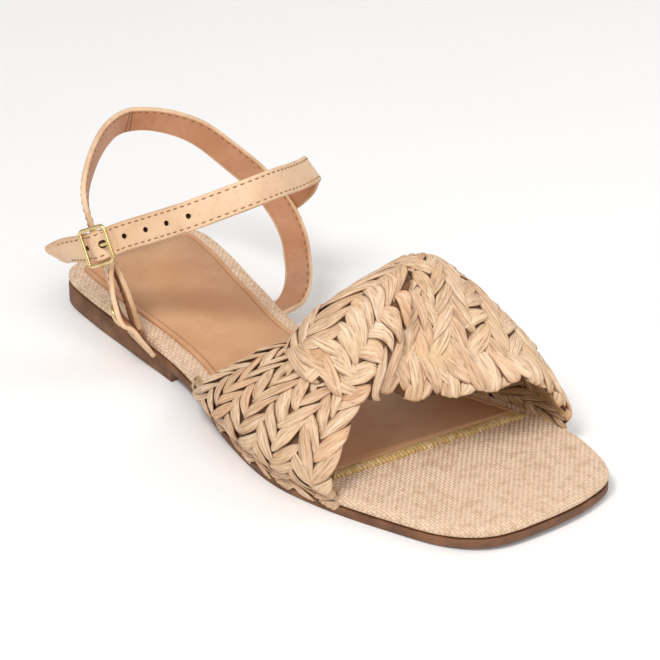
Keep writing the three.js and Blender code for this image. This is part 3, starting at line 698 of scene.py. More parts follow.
# Rows of points (along, across, up), each from the rear edge to the front
OUTER_WING = [
    [(0.461, -1.0, 0.191), (0.62, -1.15, 0.211), (0.778, -1.043, 0.184)],
    [(0.514, -1.03, 0.355), (0.641, -1.109, 0.408), (0.77, -0.91, 0.362)],
    [(0.576, -0.859, 0.526), (0.673, -0.891, 0.566), (0.767, -0.73, 0.5)],
    [(0.624, -0.674, 0.632), (0.698, -0.652, 0.671), (0.763, -0.587, 0.605)],
    [(0.653, -0.435, 0.684), (0.702, -0.413, 0.737), (0.751, -0.391, 0.684)],
]
INNER_WING = [
    [(0.637, -0.65, 0.64), (0.718, -0.217, 0.97), (0.767, -0.587, 0.605)],
    [(0.61, -0.304, 0.6), (0.724, 0.03, 1.0), (0.784, -0.348, 0.507)],
    [(0.6, 0.043, 0.605), (0.714, 0.3, 0.95), (0.808, -0.043, 0.48)],
    [(0.604, 0.391, 0.599), (0.722, 0.62, 0.757), (0.833, 0.304, 0.474)],
    [(0.608, 0.717, 0.507), (0.731, 0.88, 0.566), (0.841, 0.652, 0.454)],
    [(0.592, 1.0, 0.368), (0.727, 1.07, 0.395), (0.845, 0.891, 0.316)],
    [(0.571, 1.02, 0.197), (0.714, 1.09, 0.211), (0.841, 1.043, 0.171)],
]
KNOT = [
    [(0.639, -0.76, 0.62), (0.637, -0.674, 0.658), (0.645, -0.587, 0.655)],
    [(0.661, -0.826, 0.645), (0.661, -0.68, 0.77), (0.673, -0.435, 0.83)],
    [(0.694, -0.848, 0.618), (0.698, -0.652, 0.85), (0.71, -0.26, 0.967)],
    [(0.727, -0.783, 0.579), (0.735, -0.543, 0.87), (0.739, -0.13, 1.01)],
    [(0.759, -0.696, 0.553), (0.763, -0.5, 0.79), (0.763, -0.304, 0.89)],
    [(0.771, -0.609, 0.539), (0.776, -0.543, 0.63), (0.773, -0.457, 0.67)],
]
foot_centre = point(0.68, 0, 0.25, VAMP_HEIGHT)


def base_rows(side, rear, front):
    """A wing's lowest rows stand on the outsole, against the edge of the footbed."""
    rows = []
    for level in (0, 1):
        row = []
        for t in (0, 0.25, 0.5, 0.75, 1):
            along = rear + (front - rear) * t
            x = edge_at(along, side) + side * (BASE_OUT - BRAID_WALL / 2)
            z = sole_top(along) + FIT_GAP + level * BOARD_THICKNESS * 0.9
            row.append(np.array((x, (0.5 - along) * SOLE_LENGTH, z)))
        rows.append(row)
    return rows


class Sheet:
    """A curved sheet through rows of points, kept as a fine grid: u along a row, v over the rows."""

    STEPS = 96

    def __init__(self, rows, power, wall):
        shares = np.linspace(0, 1, self.STEPS + 1)
        lines = []
        for row in rows:
            if len(row) > 3:
                lines.append(np.array([spline(row, u) for u in shares]))
            else:
                rear, middle, front = row
                swell = middle - (rear + front) / 2
                u = shares[:, None]
                lines.append(rear + (front - rear) * u + swell * np.sin(math.pi * u).clip(0) ** power)
        self.points = np.array([spline(lines, v) for v in shares])
        self.u_run = unit(np.gradient(self.points, axis=1))
        self.v_run = unit(np.gradient(self.points, axis=0))
        normal = unit(np.cross(self.u_run, self.v_run))
        inward = np.sum(normal * (self.points - foot_centre), axis=2, keepdims=True) < 0
        self.normal = np.where(inward, -normal, normal)
        self.wall = wall
        self.widths = np.linalg.norm(np.diff(self.points, axis=1), axis=2).sum(axis=1)
        self.lengths = np.linalg.norm(np.diff(self.points, axis=0), axis=2).sum(axis=0)

    def sample(self, grid, u, v):
        x = np.clip(u, 0, 1) * self.STEPS
        y = np.clip(v, 0, 1) * self.STEPS
        i = np.minimum(x.astype(int), self.STEPS - 1)
        j = np.minimum(y.astype(int), self.STEPS - 1)
        fx = (x - i)[..., None]
        fy = (y - j)[..., None]
        low = grid[j, i] * (1 - fx) + grid[j, i + 1] * fx
        high = grid[j + 1, i] * (1 - fx) + grid[j + 1, i + 1] * fx
        return low * (1 - fy) + high * fy

    def turned(self):
        """The same sheet with u and v exchanged."""
        other = object.__new__(Sheet)
        other.points, other.normal = (np.swapaxes(grid, 0, 1) for grid in (self.points, self.normal))
        other.u_run, other.v_run = (np.swapaxes(grid, 0, 1) for grid in (self.v_run, self.u_run))
        other.widths, other.lengths, other.wall = self.lengths, self.widths, self.wall
        return other

    def width(self, v):
        return float(np.interp(v, np.linspace(0, 1, self.STEPS + 1), self.widths))

    def length(self, u):
        return float(np.interp(u, np.linspace(0, 1, self.STEPS + 1), self.lengths))

    def over(self, u, v, height, face=1):
        """Points at a height over a face of the wall, rolled round its edges where u or v pass them."""
        width, length = self.width(float(np.mean(v))), self.length(float(np.mean(u)))
        past_u = (np.clip(u, 0, 1) - u) * -width
        past_v = (np.clip(v, 0, 1) - v) * -length
        past = np.hypot(past_u, past_v) + 1e-9
        turn = np.minimum(past / (self.wall / 2), 1.9)
        out = (self.sample(self.u_run, u, v) * past_u[..., None]
               + self.sample(self.v_run, u, v) * past_v[..., None]) / past[..., None]
        normal = self.sample(self.normal, u, v) * face
        facing = unit(normal * np.cos(turn)[..., None] + out * np.sin(turn)[..., None])
        return self.sample(self.points, u, v) + facing * (self.wall / 2 + height)[..., None]


LEAF_LONG = 14
LEAF_WIDE = 20
# How deep a strip lies in the wall, how much one side of it rises over the next strip, how far its
# ends dip, and the most that chance adds or takes
STRIP_SUNK = 0.3
STRIP_OVERLAP = 0.55
STRIP_TUCK = 1.0
STRIP_UNEVEN = 0.25
# Length and width against the strip's place in the pattern, and its shift and turn out of that place
STRIP_LENGTHS = (1.3, 1.6)
STRIP_WIDTHS = (1.2, 1.55)
STRIP_SHIFT = 0.4
STRIP_TURN = 0.18


def leaf(shell, sheet, u, v, tilt, half_length, half_width, rise, dice, face=1, fine=1.0):
    """One strip of the plait: pointed, pleated along, its ends tucked in, one side over the next strip."""
    long, wide = int(LEAF_LONG * fine), int(LEAF_WIDE * fine)
    a = np.linspace(-1, 1, long + 1)[:, None] * np.ones((1, wide + 1))
    b = np.linspace(-1, 1, wide + 1)[None, :] * np.ones((long + 1, 1))
    taper = (1 - np.abs(a) ** 1.7) ** 0.75
    bow = dice.uniform(-0.3, 0.3) * half_width
    run = a * half_length
    ragged = 1 + 0.07 * np.sin(5.3 * a + dice.uniform(0, 6)) * b
    across = b * half_width * taper * ragged + bow * (1 - a * a)
    du = run * math.sin(tilt) + across * math.cos(tilt)
    dv = run * math.cos(tilt) - across * math.sin(tilt)
    pleats = dice.choice((3, 4, 5))
    phase = dice.uniform(0, 6)
    wander = 0.6 * np.sin(2.1 * a + phase)
    crown = (1 - np.abs(b) ** 3.2).clip(0) ** 0.6 * taper**0.5
    fold = np.abs(np.sin(math.pi * pleats * b / 2 + wander + phase))
    height = rise * dice.uniform(0.8, 1.15) * crown * (0.78 + 0.22 * fold)
    height = height + STRIP_OVERLAP * b * taper - STRIP_SUNK - STRIP_TUCK * np.abs(a) ** 4
    height = height + dice.uniform(-STRIP_UNEVEN, STRIP_UNEVEN)
    width, length = sheet.width(v), sheet.length(u)
    places = sheet.over(u + du / width, v + dv / length, height, face)
    # The grain's third share is how high the strip stands; the finish darkens it where low as painted shade
    grain = np.stack([run, b * half_width, (crown * (0.45 + 0.55 * fold)).clip(0, 1)], axis=-1)
    faces = grid_faces(long + 1, wide + 1, flip=face < 0)
    for left in range(0, long * (wide + 1), wide + 1):
        under = (left, left + wide + 1, left + 2 * wide + 1, left + wide)
        faces.append(under[::-1] if face < 0 else under)
    shell.add(places, faces, OUTSIDE if face > 0 else INSIDE, grain)


def plait(shell, sheet, columns, pitch, lean, rise, seed, margin=0.0, face=1, fine=1.0):
    """Columns of strips that lean by turns to one side and to the other."""
    dice = random.Random(seed)
    for column in range(columns):
        u = (column + 0.5) / columns * (1 + 2 * margin) - margin
        length = sheet.length(u)
        count = max(1, round(length / pitch))
        for k in range(count + 1):
            v = (k + 0.5 * (column % 2)) / count
            if v > 1.02:
                continue
            room = sheet.width(min(v, 1)) * (1 + 2 * margin) / columns
            swing = lean * pitch
            tilt = math.atan2(room, swing) * (1 if column % 2 == 0 else -1)
            half_length = math.hypot(room, swing) / 2 * dice.uniform(*STRIP_LENGTHS)
            half_width = pitch * abs(math.sin(tilt)) / 2 * dice.uniform(*STRIP_WIDTHS)
            u_here = u + dice.uniform(-0.008, 0.008)
            v_here = v + dice.uniform(-STRIP_SHIFT, STRIP_SHIFT) / length
            turn = tilt + dice.uniform(-STRIP_TURN, STRIP_TURN)
            leaf(shell, sheet, u_here, v_here, turn, half_length, half_width, rise, dice, face, fine)


CORE_DEPTH = 0.7
CORE_POINTS = 33


def core(shell, sheet):
    """The wall that shows between the strips, dark brown as painted shade: two faces and the rim that joins
    them.
    """
    n = CORE_POINTS
    shares = np.linspace(0, 1, n)
    u, v = np.meshgrid(shares, shares)
    for face in (1, -1):
        places = sheet.over(u, v, np.full(u.shape, -CORE_DEPTH), face)
        shell.add(places, grid_faces(n, n, flip=face < 0), BETWEEN, np.zeros((n * n, 3)))
    start, end = np.zeros(n), np.ones(n)
    for u, v in ((shares, start), (end, shares), (shares, end), (start, shares)):
        both = np.array([sheet.over(u, v, np.full(n, -CORE_DEPTH), face) for face in (1, -1)])
        shell.add(both, grid_faces(2, n), BETWEEN, np.zeros((2 * n, 3)))


def rows_of(table):
    return [[point(*share, VAMP_HEIGHT) for share in row] for row in table]


# Strips on the inside are hidden for the most part and have fewer faces
INSIDE_RISE = 0.8
INSIDE_FINE = 0.5
# Columns of strips, pitch, lean and seed
OUTER_PLAIT = (9, 6.3, 1.5, 11)
INNER_PLAIT = (17, 7.2, 1.4, 23)
WING_MARGIN = 0.02
# Columns of strips, pitch, lean, rise, seed and how far they pass the edges
KNOT_PLAIT = (6, 6.2, 1.4, 1.25, 77, 0.08)
KNOT_INSIDE = (5, 7.5, 1.0, INSIDE_RISE, 78)
# The long strips at the foot of the knot: place over its width, place along it, half length
KNOT_STRIPS = [(0.0, 0.3, 9), (0.05, 0.62, 10), (0.12, 0.36, 10), (0.17, 0.66, 9), (0.25, 0.5, 8)]
KNOT_STRIP_WIDTH, KNOT_STRIP_RISE = 2.5, 1.5
HEM_COUNT = 21
HEM_AT = 0.95
CREASE_ROWS = (0.015, 0.06, 0.1)
CREASE_COUNT = 6
# Half length, half width and rise
HEM_STRIP = (7.6, 2.7, 1.5)
CREASE_STRIP = (11, 2.4, 1.5)


def wing(shell, sheet, run, columns, pitch, lean, seed):
    """Both faces of a wing. run is the sheet as its columns of strips run."""
    core(shell, sheet)
    plait(shell, run, columns, pitch, lean, 1.0, seed, WING_MARGIN)
    plait(shell, run, columns, pitch, lean, INSIDE_RISE, seed + 1, face=-1, fine=INSIDE_FINE)


def hem(shell, sheet):
    """Short slanting strips that close the front edge."""
    dice = random.Random(25)
    for k in range(HEM_COUNT):
        v = (k + 0.5 + dice.uniform(-0.15, 0.15)) / HEM_COUNT
        leaf(shell, sheet, HEM_AT, v, 0.6 + dice.uniform(-0.25, 0.25), *HEM_STRIP, dice)


def knotted(knot):
    """The turn of plait that wraps the crossing, with the long strips that gather at its foot."""
    shell = Shell()
    core(shell, knot)
    wrap = knot.turned()
    plait(shell, wrap, *KNOT_PLAIT)
    plait(shell, wrap, *KNOT_INSIDE, face=-1, fine=INSIDE_FINE)
    dice = random.Random(5)
    for place, at, half_length in KNOT_STRIPS:
        tilt = math.pi / 2 + dice.uniform(-0.1, 0.25)
        leaf(shell, wrap, at, place, tilt, half_length, KNOT_STRIP_WIDTH, KNOT_STRIP_RISE, dice)
    shell.piece("raffia_knot", BRAID_FINISHES, "raffia")


def crease_strand(sheet):
    """The inner wing's first strips run down its edge, over the crease beside the knot."""
    shell = Shell()
    dice = random.Random(9)
    for row, place in enumerate(CREASE_ROWS):
        for k in range(CREASE_COUNT):
            u = (k + 0.3 + 0.5 * (row % 2)) / (CREASE_COUNT + 1)
            lean = math.pi / 2 - 0.3 + dice.uniform(-0.12, 0.12)
            leaf(shell, sheet, u, place, lean, *CREASE_STRIP, dice)
    shell.piece("raffia_crease_strand", BRAID_FINISHES, "raffia")


def upper():
    outer = Sheet([*base_rows(*OUTER_BASE), *rows_of(OUTER_WING)], 0.9, BRAID_WALL)
    shell = Shell()
    wing(shell, outer, outer, *OUTER_PLAIT)
    shell.piece("raffia_outer_wing", BRAID_FINISHES, "raffia", "upper")
    inner = Sheet([*rows_of(INNER_WING), *base_rows(*INNER_BASE)[::-1]], 0.7, BRAID_WALL)
    shell = Shell()
    wing(shell, inner, inner.turned(), *INNER_PLAIT)
    hem(shell, inner)
    shell.piece("raffia_inner_wing", BRAID_FINISHES, "raffia")
    knotted(Sheet(rows_of(KNOT), 0.9, KNOT_WALL))
    crease_strand(inner)


# Straps

def station(along, across, up, lean):
    return point(along, across, up, ANKLE_HEIGHT), math.radians(lean)


# From the outer side round the heel to the inner side: along, across, up, lean
ANKLE_STRAP = [
    (0.258, -0.8, 0.215, -30), (0.25, -0.85, 0.38, -30), (0.224, -0.88, 0.525, -24),
    (0.184, -0.91, 0.655, -18), (0.143, -0.826, 0.77, -12), (0.106, -0.609, 0.868, -2),
    (0.069, -0.304, 0.92, 5), (0.045, 0.0, 0.904, 9), (0.069, 0.196, 0.897, 12),
    (0.118, 0.391, 0.859, 14), (0.163, 0.565, 0.747, 6), (0.204, 0.707, 0.628, -6),
    (0.237, 0.8, 0.494, -24), (0.263, 0.815, 0.378, -38), (0.273, 0.804, 0.3, -44),
    (0.286, 0.765, 0.224, -50), (0.297, 0.7, 0.163, -60), (0.307, 0.587, 0.125, -75),
]
# From the free end over the instep to the ankle strap: along, across, up, lean
BUCKLE_STRAP = [
    (0.113, -1.033, 0.45, 60), (0.163, -1.072, 0.549, 36), (0.204, -1.072, 0.61, 12),
    (0.237, -1.043, 0.667, -4), (0.269, -0.93, 0.733, -10), (0.314, -0.787, 0.814, -18),
    (0.359, -0.652, 0.897, -26), (0.392, -0.457, 0.964, -32), (0.41, -0.196, 1.003, -34),
    (0.402, 0.065, 0.99, -34), (0.382, 0.304, 0.946, -34), (0.36, 0.522, 0.905, -36),
    (0.33, 0.717, 0.852, -36), (0.299, 0.83, 0.776, -32), (0.268, 0.9, 0.66, -26),
    (0.24, 0.89, 0.565, -20), (0.222, 0.86, 0.51, -20),
]
# The inner end of the ankle strap is tucked flat between the outsole and the board
TUCK_ALONG = 0.314
TUCK_DEPTH = 3
TUCK_LEAN = -85
ankle_axis = point(0.225, -0.065, 0, 0)

# From the footbed's edge up to the buckle: along, across, up, share of the taper, turn
QUARTER = [
    (0.261, -0.793, 0.153, 0, -36), (0.256, -0.837, 0.205, 0.05, -38), (0.245, -0.9, 0.269, 0.2, -36),
    (0.237, -0.935, 0.385, 0.5, -34), (0.233, -0.96, 0.513, 0.85, -26), (0.235, -0.968, 0.615, 1, -14),
    (0.237, -0.97, 0.68, 1, -8),
]
QUARTER_THICKNESS = 1.8
QUARTER_BASE_WIDTH = 24
QUARTER_TOP_WIDTH = 10.5
QUARTER_ALONG = 0.263
QUARTER_BASE_TURN = -30


class Path:
    """A strap's middle line, walked by shares of its length, with a lean at each station."""

    def __init__(self, points, leans):
        count = 60 * (len(points) - 1)
        self.points = np.array([spline(points, i / count, even=False) for i in range(count + 1)])
        steps = np.linalg.norm(np.diff(self.points, axis=0), axis=1)
        self.walked = np.concatenate([[0], np.cumsum(steps)])
        self.length = float(self.walked[-1])
        self.leans = leans

    def at(self, t):
        d = np.clip(t, 0, 1) * self.length
        return np.array([np.interp(d, self.walked, self.points[:, k]) for k in range(3)])

    def through(self, values, t):
        return float(np.interp(t * (len(values) - 1), range(len(values)), values))

    def frame(self, t):
        centre = self.at(t)
        step = 1.2 / self.length
        run = unit(self.at(min(1, t + step)) - self.at(max(0, t - step)))
        out = np.array((centre[0] - ankle_axis[0], centre[1] - ankle_axis[1], 0))
        out = unit(out - run * np.dot(out, run))
        lean = self.through(self.leans, t)
        turned = out * math.cos(lean) + np.cross(run, out) * math.sin(lean)
        return centre, run, turned, np.cross(turned, run)


def strap_path(table, closing=None):
    stations = [station(*row) for row in table]
    if closing is not None:
        stations.append(closing)
    return Path([p for p, _ in stations], [lean for _, lean in stations])


tuck = np.array((
    edge_at(TUCK_ALONG, 1) - TUCK_DEPTH, (0.5 - TUCK_ALONG) * SOLE_LENGTH,
    sole_top(TUCK_ALONG) + FIT_GAP + ANKLE_STRAP_THICKNESS / 2))
ankle_path = strap_path(ANKLE_STRAP, (tuck, math.radians(TUCK_LEAN)))
buckle_path = strap_path(BUCKLE_STRAP)
quarter_base = np.array((
    edge_at(QUARTER_ALONG, -1) - QUARTER_THICKNESS / 2, (0.5 - QUARTER_ALONG) * SOLE_LENGTH,
    sole_top(QUARTER_ALONG) + FIT_GAP))
quarter_path = Path(
    [quarter_base, *(point(*row[:3], ANKLE_HEIGHT) for row in QUARTER)],
    [math.radians(turn) for turn in (QUARTER_BASE_TURN, *(row[4] for row in QUARTER))])
quarter_shares = [0, *(row[3] for row in QUARTER)]

bar_offset = (BUCKLE_WIRE + BUCKLE_STRAP_THICKNESS) / 2 + FIT_GAP
wave_height = bar_offset * 0.54
frame_level = bar_offset - wave_height


def buckle_wave(t):
    """Under the two end bars of the buckle and over its middle bar."""
    d = t * buckle_path.length - FREE_END
    if abs(d) > 1.5 * BUCKLE_BAR_SPACING:
        return 0.0
    return wave_height * math.cos(math.pi * d / BUCKLE_BAR_SPACING)


def quarter_half(t):
    taper = quarter_path.through(quarter_shares, t)
    return (QUARTER_BASE_WIDTH + (QUARTER_TOP_WIDTH - QUARTER_BASE_WIDTH) * taper) / 2


ankle_half = ANKLE_STRAP_WIDTH / 2
buckle_half = BUCKLE_STRAP_WIDTH / 2
TIP_ROUND = 2.6
# Distances from the free end at which its round corners are drawn
TIP_STEPS = (0.0, 0.1, 0.25, 0.5, 0.8, 1.2, 1.7, 2.3)
HOLE_DEPTH = 0.45
# Room left between a strap and what is cut to let it pass
ANKLE_ROOM = 0.12
BUCKLE_ROOM = 0.15
PAST_BUCKLE = 14
STITCH_INSET = 1.5
STITCH_START = 11
STITCH_PITCH = 2.9
STITCH_LENGTH = 1.75
STITCH_WIDTH = 0.4
STITCH_SUNK = 0.02
# Share of the half length, height and share of the width
STITCH_SHAPE = [(-1, -0.35, 0.55), (-0.72, -0.02, 0.9), (0, 0.08, 1), (0.72, -0.02, 0.9), (1, -0.35, 0.55)]
# The line pressed in along the stitching, and the swell between it and the edge
GROOVE_DEPTH, GROOVE_HALF = 0.16, 0.42
SWELL_HEIGHT, SWELL_HALF, SWELL_INSET = 0.05, 0.5, 0.6
FACE_POINTS = 25
EDGE_POINTS = 6
LINING_POINTS = 7


def section(half_width, thickness):
    """A strap's cut across: its faces, pressed in along the stitching, and its rounded edges."""
    half = thickness / 2
    round_in = half * 0.8
    points, zones = [], []
    for x in np.linspace(-half_width + round_in, half_width - round_in, FACE_POINTS):
        press = math.exp(-(((half_width - abs(x) - STITCH_INSET) / GROOVE_HALF) ** 2))
        swell = math.exp(-(((half_width - abs(x) - SWELL_INSET) / SWELL_HALF) ** 2))
        points.append((x, half - GROOVE_DEPTH * press + SWELL_HEIGHT * swell))
        zones.append(FACE)
    for a in np.linspace(math.pi / 2, -math.pi / 2, EDGE_POINTS + 2)[1:-1]:
        points.append((half_width - round_in * (1 - math.cos(a)), half * math.sin(a)))
        zones.append(EDGE)
    for x in np.linspace(half_width - round_in, -half_width + round_in, LINING_POINTS):
        points.append((x, -half))
        zones.append(LINING)
    for a in np.linspace(-math.pi / 2, math.pi / 2, EDGE_POINTS + 2)[1:-1]:
        points.append((-half_width + round_in * (1 - math.cos(a)), half * math.sin(a)))
        zones.append(EDGE)
    # The stretches from the last point of the face and of the lining belong to the edges
    zones[FACE_POINTS - 1] = EDGE
    zones[FACE_POINTS - 1 + EDGE_POINTS + LINING_POINTS] = EDGE
    return points, zones


def band(path, half_width, thickness, start=0.0, end=1.0, step=1.1, rise=None, tip=0.0):
    """Vertices, faces and their zones of a strap along its path."""
    steps = max(2, int((end - start) * path.length / step))
    shares = [start + (end - start) * k / steps for k in range(steps + 1)]
    if tip:
        ends = [start + d / path.length for d in TIP_STEPS]
        shares = ends + [t for t in shares if t > ends[-1] + 0.3 / path.length]
    rings = []
    for t in shares:
        centre, _, out, side = path.frame(t)
        d = (t - start) * path.length
        w = half_width(t)
        if tip and d < tip:
            w = w - tip + math.sqrt(max(0.0, tip**2 - (tip - d) ** 2))
        points, zones = section(w, thickness)
        lift = rise(t) if rise else 0.0
        rings.append([centre + side * x + out * (y + lift) for x, y in points])
    faces = ring_faces(len(rings), len(zones))
    return np.array(rings), faces, zones * (len(rings) - 1) + [EDGE, EDGE]


def strap_piece(name, made, cad_node):
    shell = Shell()
    shell.add(*made)
    return shell.piece(name, STRAP_FINISHES, "strap_leather", cad_node)


def tool(vertices, faces):
    """A closed mesh that cuts another and is not kept."""
    # Its faces take the dark hole finish, painted shade, onto the walls that it cuts
    return mesh_object("tool", vertices, faces, STRAP_FINISHES, [HOLE] * len(faces))


def hole_tool(distance, diameter):
    """For a blind hole from the buckle strap's face."""
    centre, _, out, _ = buckle_path.frame(distance / buckle_path.length)
    return tool(*tube([centre + out * h for h in (-HOLE_DEPTH, 0, 4)], diameter / 2, sides=20))


def ankle_tool():
    """For the room that the ankle strap takes."""
    vertices, faces, _ = band(
        ankle_path, lambda t: ankle_half + ANKLE_ROOM, ANKLE_STRAP_THICKNESS + 2 * ANKLE_ROOM, step=3)
    return tool(vertices, faces)


def under_buckle_tool():
    """For the room that the buckle strap takes over the quarter."""
    vertices, faces, _ = band(
        buckle_path, lambda t: buckle_half + BUCKLE_ROOM, BUCKLE_STRAP_THICKNESS + 2 * BUCKLE_ROOM,
        end=(FREE_END + PAST_BUCKLE) / buckle_path.length, step=1.5, rise=buckle_wave)
    return tool(vertices, faces)


def straps():
    ankle = band(ankle_path, lambda t: ankle_half, ANKLE_STRAP_THICKNESS)
    strap_piece("ankle_strap_leather", ankle, "ankle_strap")
    buckle = band(buckle_path, lambda t: buckle_half, BUCKLE_STRAP_THICKNESS, rise=buckle_wave, tip=TIP_ROUND)
    strap = strap_piece("buckle_strap_leather", buckle, "buckle_strap")
    holes = []
    for k in range(-1, HOLE_COUNT - 1):
        diameter = PRONG_HOLE_DIAMETER if k == 0 else HOLE_DIAMETER
        holes.append(hole_tool(FREE_END + PRONG_HOLE_AT + k * HOLE_PITCH, diameter))
    cut(strap, [*holes, ankle_tool()])
    tab = band(quarter_path, quarter_half, QUARTER_THICKNESS, step=0.9)
    quarter = strap_piece("quarter_leather", tab, "quarter")
    cut(quarter, [ankle_tool(), under_buckle_tool()])


def stitch(shell, centre, run, out):
    """One stitch: a short round thread that dips into the leather at both ends."""
    path = [centre + run * s * STITCH_LENGTH / 2 + out * low for s, low, _ in STITCH_SHAPE]
    shell.add_tube(path, [r * STITCH_WIDTH / 2 for _, _, r in STITCH_SHAPE], sides=6)


def stitch_row(shell, path, half_width, edge, height, start, end, rise=None, under=False):
    """Stitches side by side along one edge of a strap."""
    def spot(t):
        centre, _, out, side = path.frame(t)
        lift = height + (rise(t) if rise else 0.0)
        return centre + side * (edge * (half_width(t) - STITCH_INSET)) + out * lift, out

    count = int((end - start) * path.length / STITCH_PITCH)
    for k in range(count):
        t = start + (end - start) * (k + 0.5) / count
        place, out = spot(t)
        ahead, _ = spot(t + 1 / path.length)
        stitch(shell, place, unit(ahead - place), -out if under else out)


def heel_seam(shell):
    """The seam across the ankle strap's lining, behind the heel."""
    shares = np.linspace(0, 1, 400)
    rear = shares[np.argmax([ankle_path.frame(t)[0][1] for t in shares])]
    across = np.linspace(0.8 - ankle_half, ankle_half - 0.8, 9)
    for place in (-0.9, 0.9):
        centre, _, out, side = ankle_path.frame(rear + place / ankle_path.length)
        low = centre - out * (ANKLE_STRAP_THICKNESS / 2 - 0.03)
        shell.add_tube([low + side * x for x in across], 0.2, sides=6)


def stitching():
    shell = Shell()
    heel_seam(shell)
    top = ANKLE_STRAP_THICKNESS / 2 - STITCH_SUNK
    for edge in (-1, 1):
        stitch_row(shell, ankle_path, lambda t: ankle_half, edge, top, 0.02, 0.955)
    stitch_row(shell, ankle_path, lambda t: ankle_half, -1, -top, 0.03, 0.955, under=True)
    shell.piece("ankle_strap_stitches", [THREAD], "strap_leather")
    shell = Shell()
    top = BUCKLE_STRAP_THICKNESS / 2 - STITCH_SUNK
    first = STITCH_START / buckle_path.length
    for edge in (-1, 1):
        stitch_row(shell, buckle_path, lambda t: buckle_half, edge, top, first, 0.985, rise=buckle_wave)
    shell.piece("buckle_strap_stitches", [THREAD], "strap_leather")
    shell = Shell()
    top = QUARTER_THICKNESS / 2 - STITCH_SUNK
    for edge in (-1, 1):
        stitch_row(shell, quarter_path, quarter_half, edge, top, 0.1, 0.8)
    shell.piece("quarter_stitches", [THREAD], "strap_leather")


# Buckle and rivet

def local_to(frame_at):
    centre, run, out, side = frame_at
    return lambda x, y, z: centre + run * x - side * y + out * z


def buckle():
    """A frame bent from one wire, and its middle bar with a short post at each end."""
    put = local_to(buckle_path.frame(FREE_END / buckle_path.length))
    rail = buckle_half + BUCKLE_SIDE_ROOM + BUCKLE_WIRE / 2
    ring = []
    for quarter, (sx, sy) in enumerate(((1, 1), (-1, 1), (-1, -1), (1, -1))):
        for k in range(9):
            turn = math.pi / 2 * (quarter + k / 8)
            x = sx * (BUCKLE_BAR_SPACING - BUCKLE_CORNER) + BUCKLE_CORNER * math.cos(turn)
            y = sy * (rail - BUCKLE_CORNER) + BUCKLE_CORNER * math.sin(turn)
            ring.append(put(x, y, frame_level))
    shell = Shell()
    shell.add_tube(ring, BUCKLE_WIRE / 2, sides=16, closed=True)
    bar = [put(0, y, -frame_level) for y in np.linspace(-rail - 0.3, rail + 0.3, 9)]
    shell.add_tube(bar, BUCKLE_WIRE / 2, sides=14)
    for y in (-rail, rail):
        post = [put(0, y, z) for z in (-frame_level, 0, frame_level)]
        shell.add_tube(post, BUCKLE_WIRE * 0.48, sides=14)
    shell.piece("buckle_wire", [GOLD], "pale_gold", "buckle_frame")
    prong(put)


PRONG_STEPS = 40
PRONG_TIP_STEPS = 4


def prong(put):
    """From the middle bar up through its hole in the strap and over the end bar, to a round tip."""
    rest = frame_level + (BUCKLE_WIRE + PRONG_WIRE) / 2 + FIT_GAP
    start = (BUCKLE_WIRE + PRONG_WIRE) / 2 + FIT_GAP
    stations = [
        put(start, 0, -frame_level), put(start + 0.8, 0, -frame_level * 0.8),
        put(PRONG_HOLE_AT, 0, rest * 0.15), put(PRONG_HOLE_AT + 0.5, 0, rest * 0.72),
        put(BUCKLE_BAR_SPACING - 1.2, 0, rest), put(BUCKLE_BAR_SPACING + 1.1, 0, rest),
    ]
    path, radii = [], []
    for i in range(PRONG_STEPS + 1):
        path.append(spline(stations, i / PRONG_STEPS, even=False))
        tip = max(0, i - (PRONG_STEPS - PRONG_TIP_STEPS)) / (PRONG_TIP_STEPS + 0.3)
        radii.append(PRONG_WIRE / 2 * math.sqrt(max(0.05, 1 - tip**2)))
    shell = Shell()
    shell.add_tube(path, radii, sides=14)
    shell.piece("prong", [GOLD], "pale_gold", "buckle_prong")


# The rivet's rim from the middle of its underside: share of the radius, share of the height
RIVET_RIM = [(0, -0.4), (0.9, -0.4), (0.97, -0.1), (1.0, 0.12), (0.985, 0.34), (0.93, 0.46), (0.87, 0.4),
             (0.84, 0.36)]
RIVET_SIDES = 40


def rivet():
    """A blank dome on a thin rolled rim."""
    centre, run, out, side = quarter_path.frame(RIVET_AT)
    put = local_to((centre + out * (QUARTER_THICKNESS / 2 + RIVET_SEAT), run, out, side))
    dome = [(0.82 * math.cos(a), 0.36 + 0.62 * math.sin(a)) for a in np.linspace(0, math.pi / 2, 10)]
    angles = np.linspace(0, 2 * math.pi, RIVET_SIDES, endpoint=False)
    rings = []
    for share, rise in RIVET_RIM + dome:
        r = share * (RIVET_DIAMETER / 2)
        rings.append([put(r * math.cos(a), r * math.sin(a), rise * RIVET_HEIGHT) for a in angles])
    shell = Shell()
    shell.add(rings, ring_faces(len(rings), RIVET_SIDES, caps=False))
    shell.piece("rivet_cap", [GOLD], "pale_gold", "rivet")


outsole()
footbed()
insole()
toe_welt()
upper()
straps()
stitching()
buckle()
rivet()


# Camera, floor and light

CAMERA_PLACE = Vector((-603.25, -752.07, 577.8)) * MM
CAMERA_FORWARD = Vector((0.598, 0.632, -0.492))
CAMERA_RIGHT = Vector((0.727, -0.687, 0.0))
CAMERA_UP = Vector((0.338, 0.358, 0.870))
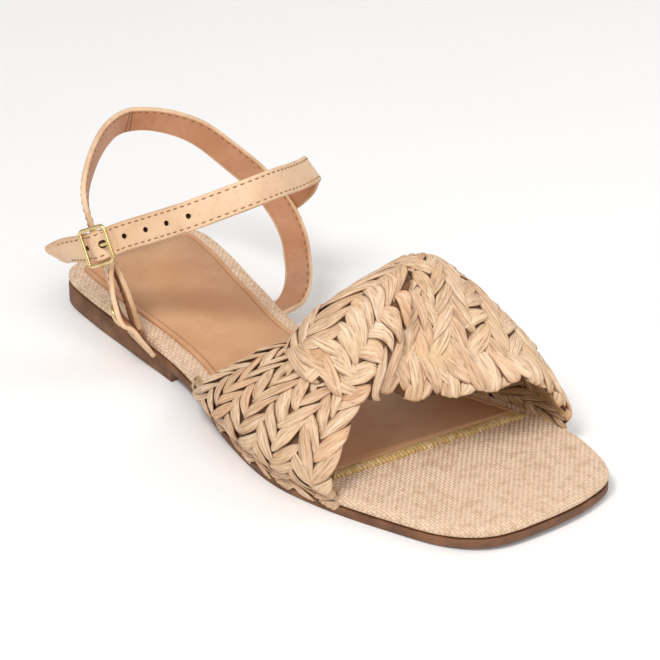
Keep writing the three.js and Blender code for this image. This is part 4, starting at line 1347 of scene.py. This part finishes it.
# The shoe is left of the middle of the photo: its centre's place over the focal length, in pixels
FOCAL_PIXELS = 1945
CENTRE_PIXELS = (203.5 - 330, 339 - 330)
SHOE_PIXELS = 365
SHOE_SHARE = 0.87
IMAGE_SIZE = 660
SENSOR = 36

look = (CAMERA_FORWARD + CAMERA_RIGHT * (CENTRE_PIXELS[0] / FOCAL_PIXELS)
        - CAMERA_UP * (CENTRE_PIXELS[1] / FOCAL_PIXELS)).normalized()
camera_data = bpy.data.cameras.new("camera")
camera_data.sensor_width = SENSOR
camera_data.lens = SENSOR * FOCAL_PIXELS / IMAGE_SIZE * (IMAGE_SIZE * SHOE_SHARE / SHOE_PIXELS)
camera_data.clip_start = 0.01
camera = bpy.data.objects.new("camera", camera_data)
camera.location = CAMERA_PLACE
camera.rotation_euler = look.to_track_quat("-Z", "Y").to_euler()
bpy.context.scene.collection.objects.link(camera)
bpy.context.scene.camera = camera

floor_mesh = bpy.data.meshes.new("floor")
floor_mesh.from_pydata([(-3, -3, 0), (3, -3, 0), (3, 3, 0), (-3, 3, 0)], [], [(0, 1, 2, 3)])
floor_mesh.materials.append(plain("pale floor", colour(250, 249, 248), colour(247, 246, 245), 400, 0.85))
floor = bpy.data.objects.new("floor", floor_mesh)
bpy.context.scene.collection.objects.link(floor)


LIGHT_AIM = Vector((0, 0, 0.03))


def soft_light(name, place, size, watts):
    data = bpy.data.lights.new(name, "AREA")
    data.shape = "DISK"
    data.size = size
    data.energy = watts
    made = bpy.data.objects.new(name, data)
    made.location = place
    made.rotation_euler = (LIGHT_AIM - Vector(place)).to_track_quat("-Z", "Y").to_euler()
    bpy.context.scene.collection.objects.link(made)


soft_light("key", (-0.8, -0.35, 1.25), 0.5, 12.5)
soft_light("front", (-0.2, -1.2, 0.8), 0.9, 5)
soft_light("right", (0.9, -0.5, 0.9), 0.9, 3.5)
world = bpy.data.worlds.new("soft room")
world.use_nodes = True
world.node_tree.nodes["Background"].inputs["Color"].default_value = (1, 1, 1, 1)
world.node_tree.nodes["Background"].inputs["Strength"].default_value = 0.48
bpy.context.scene.world = world
bpy.context.scene.view_settings.view_transform = "Standard"
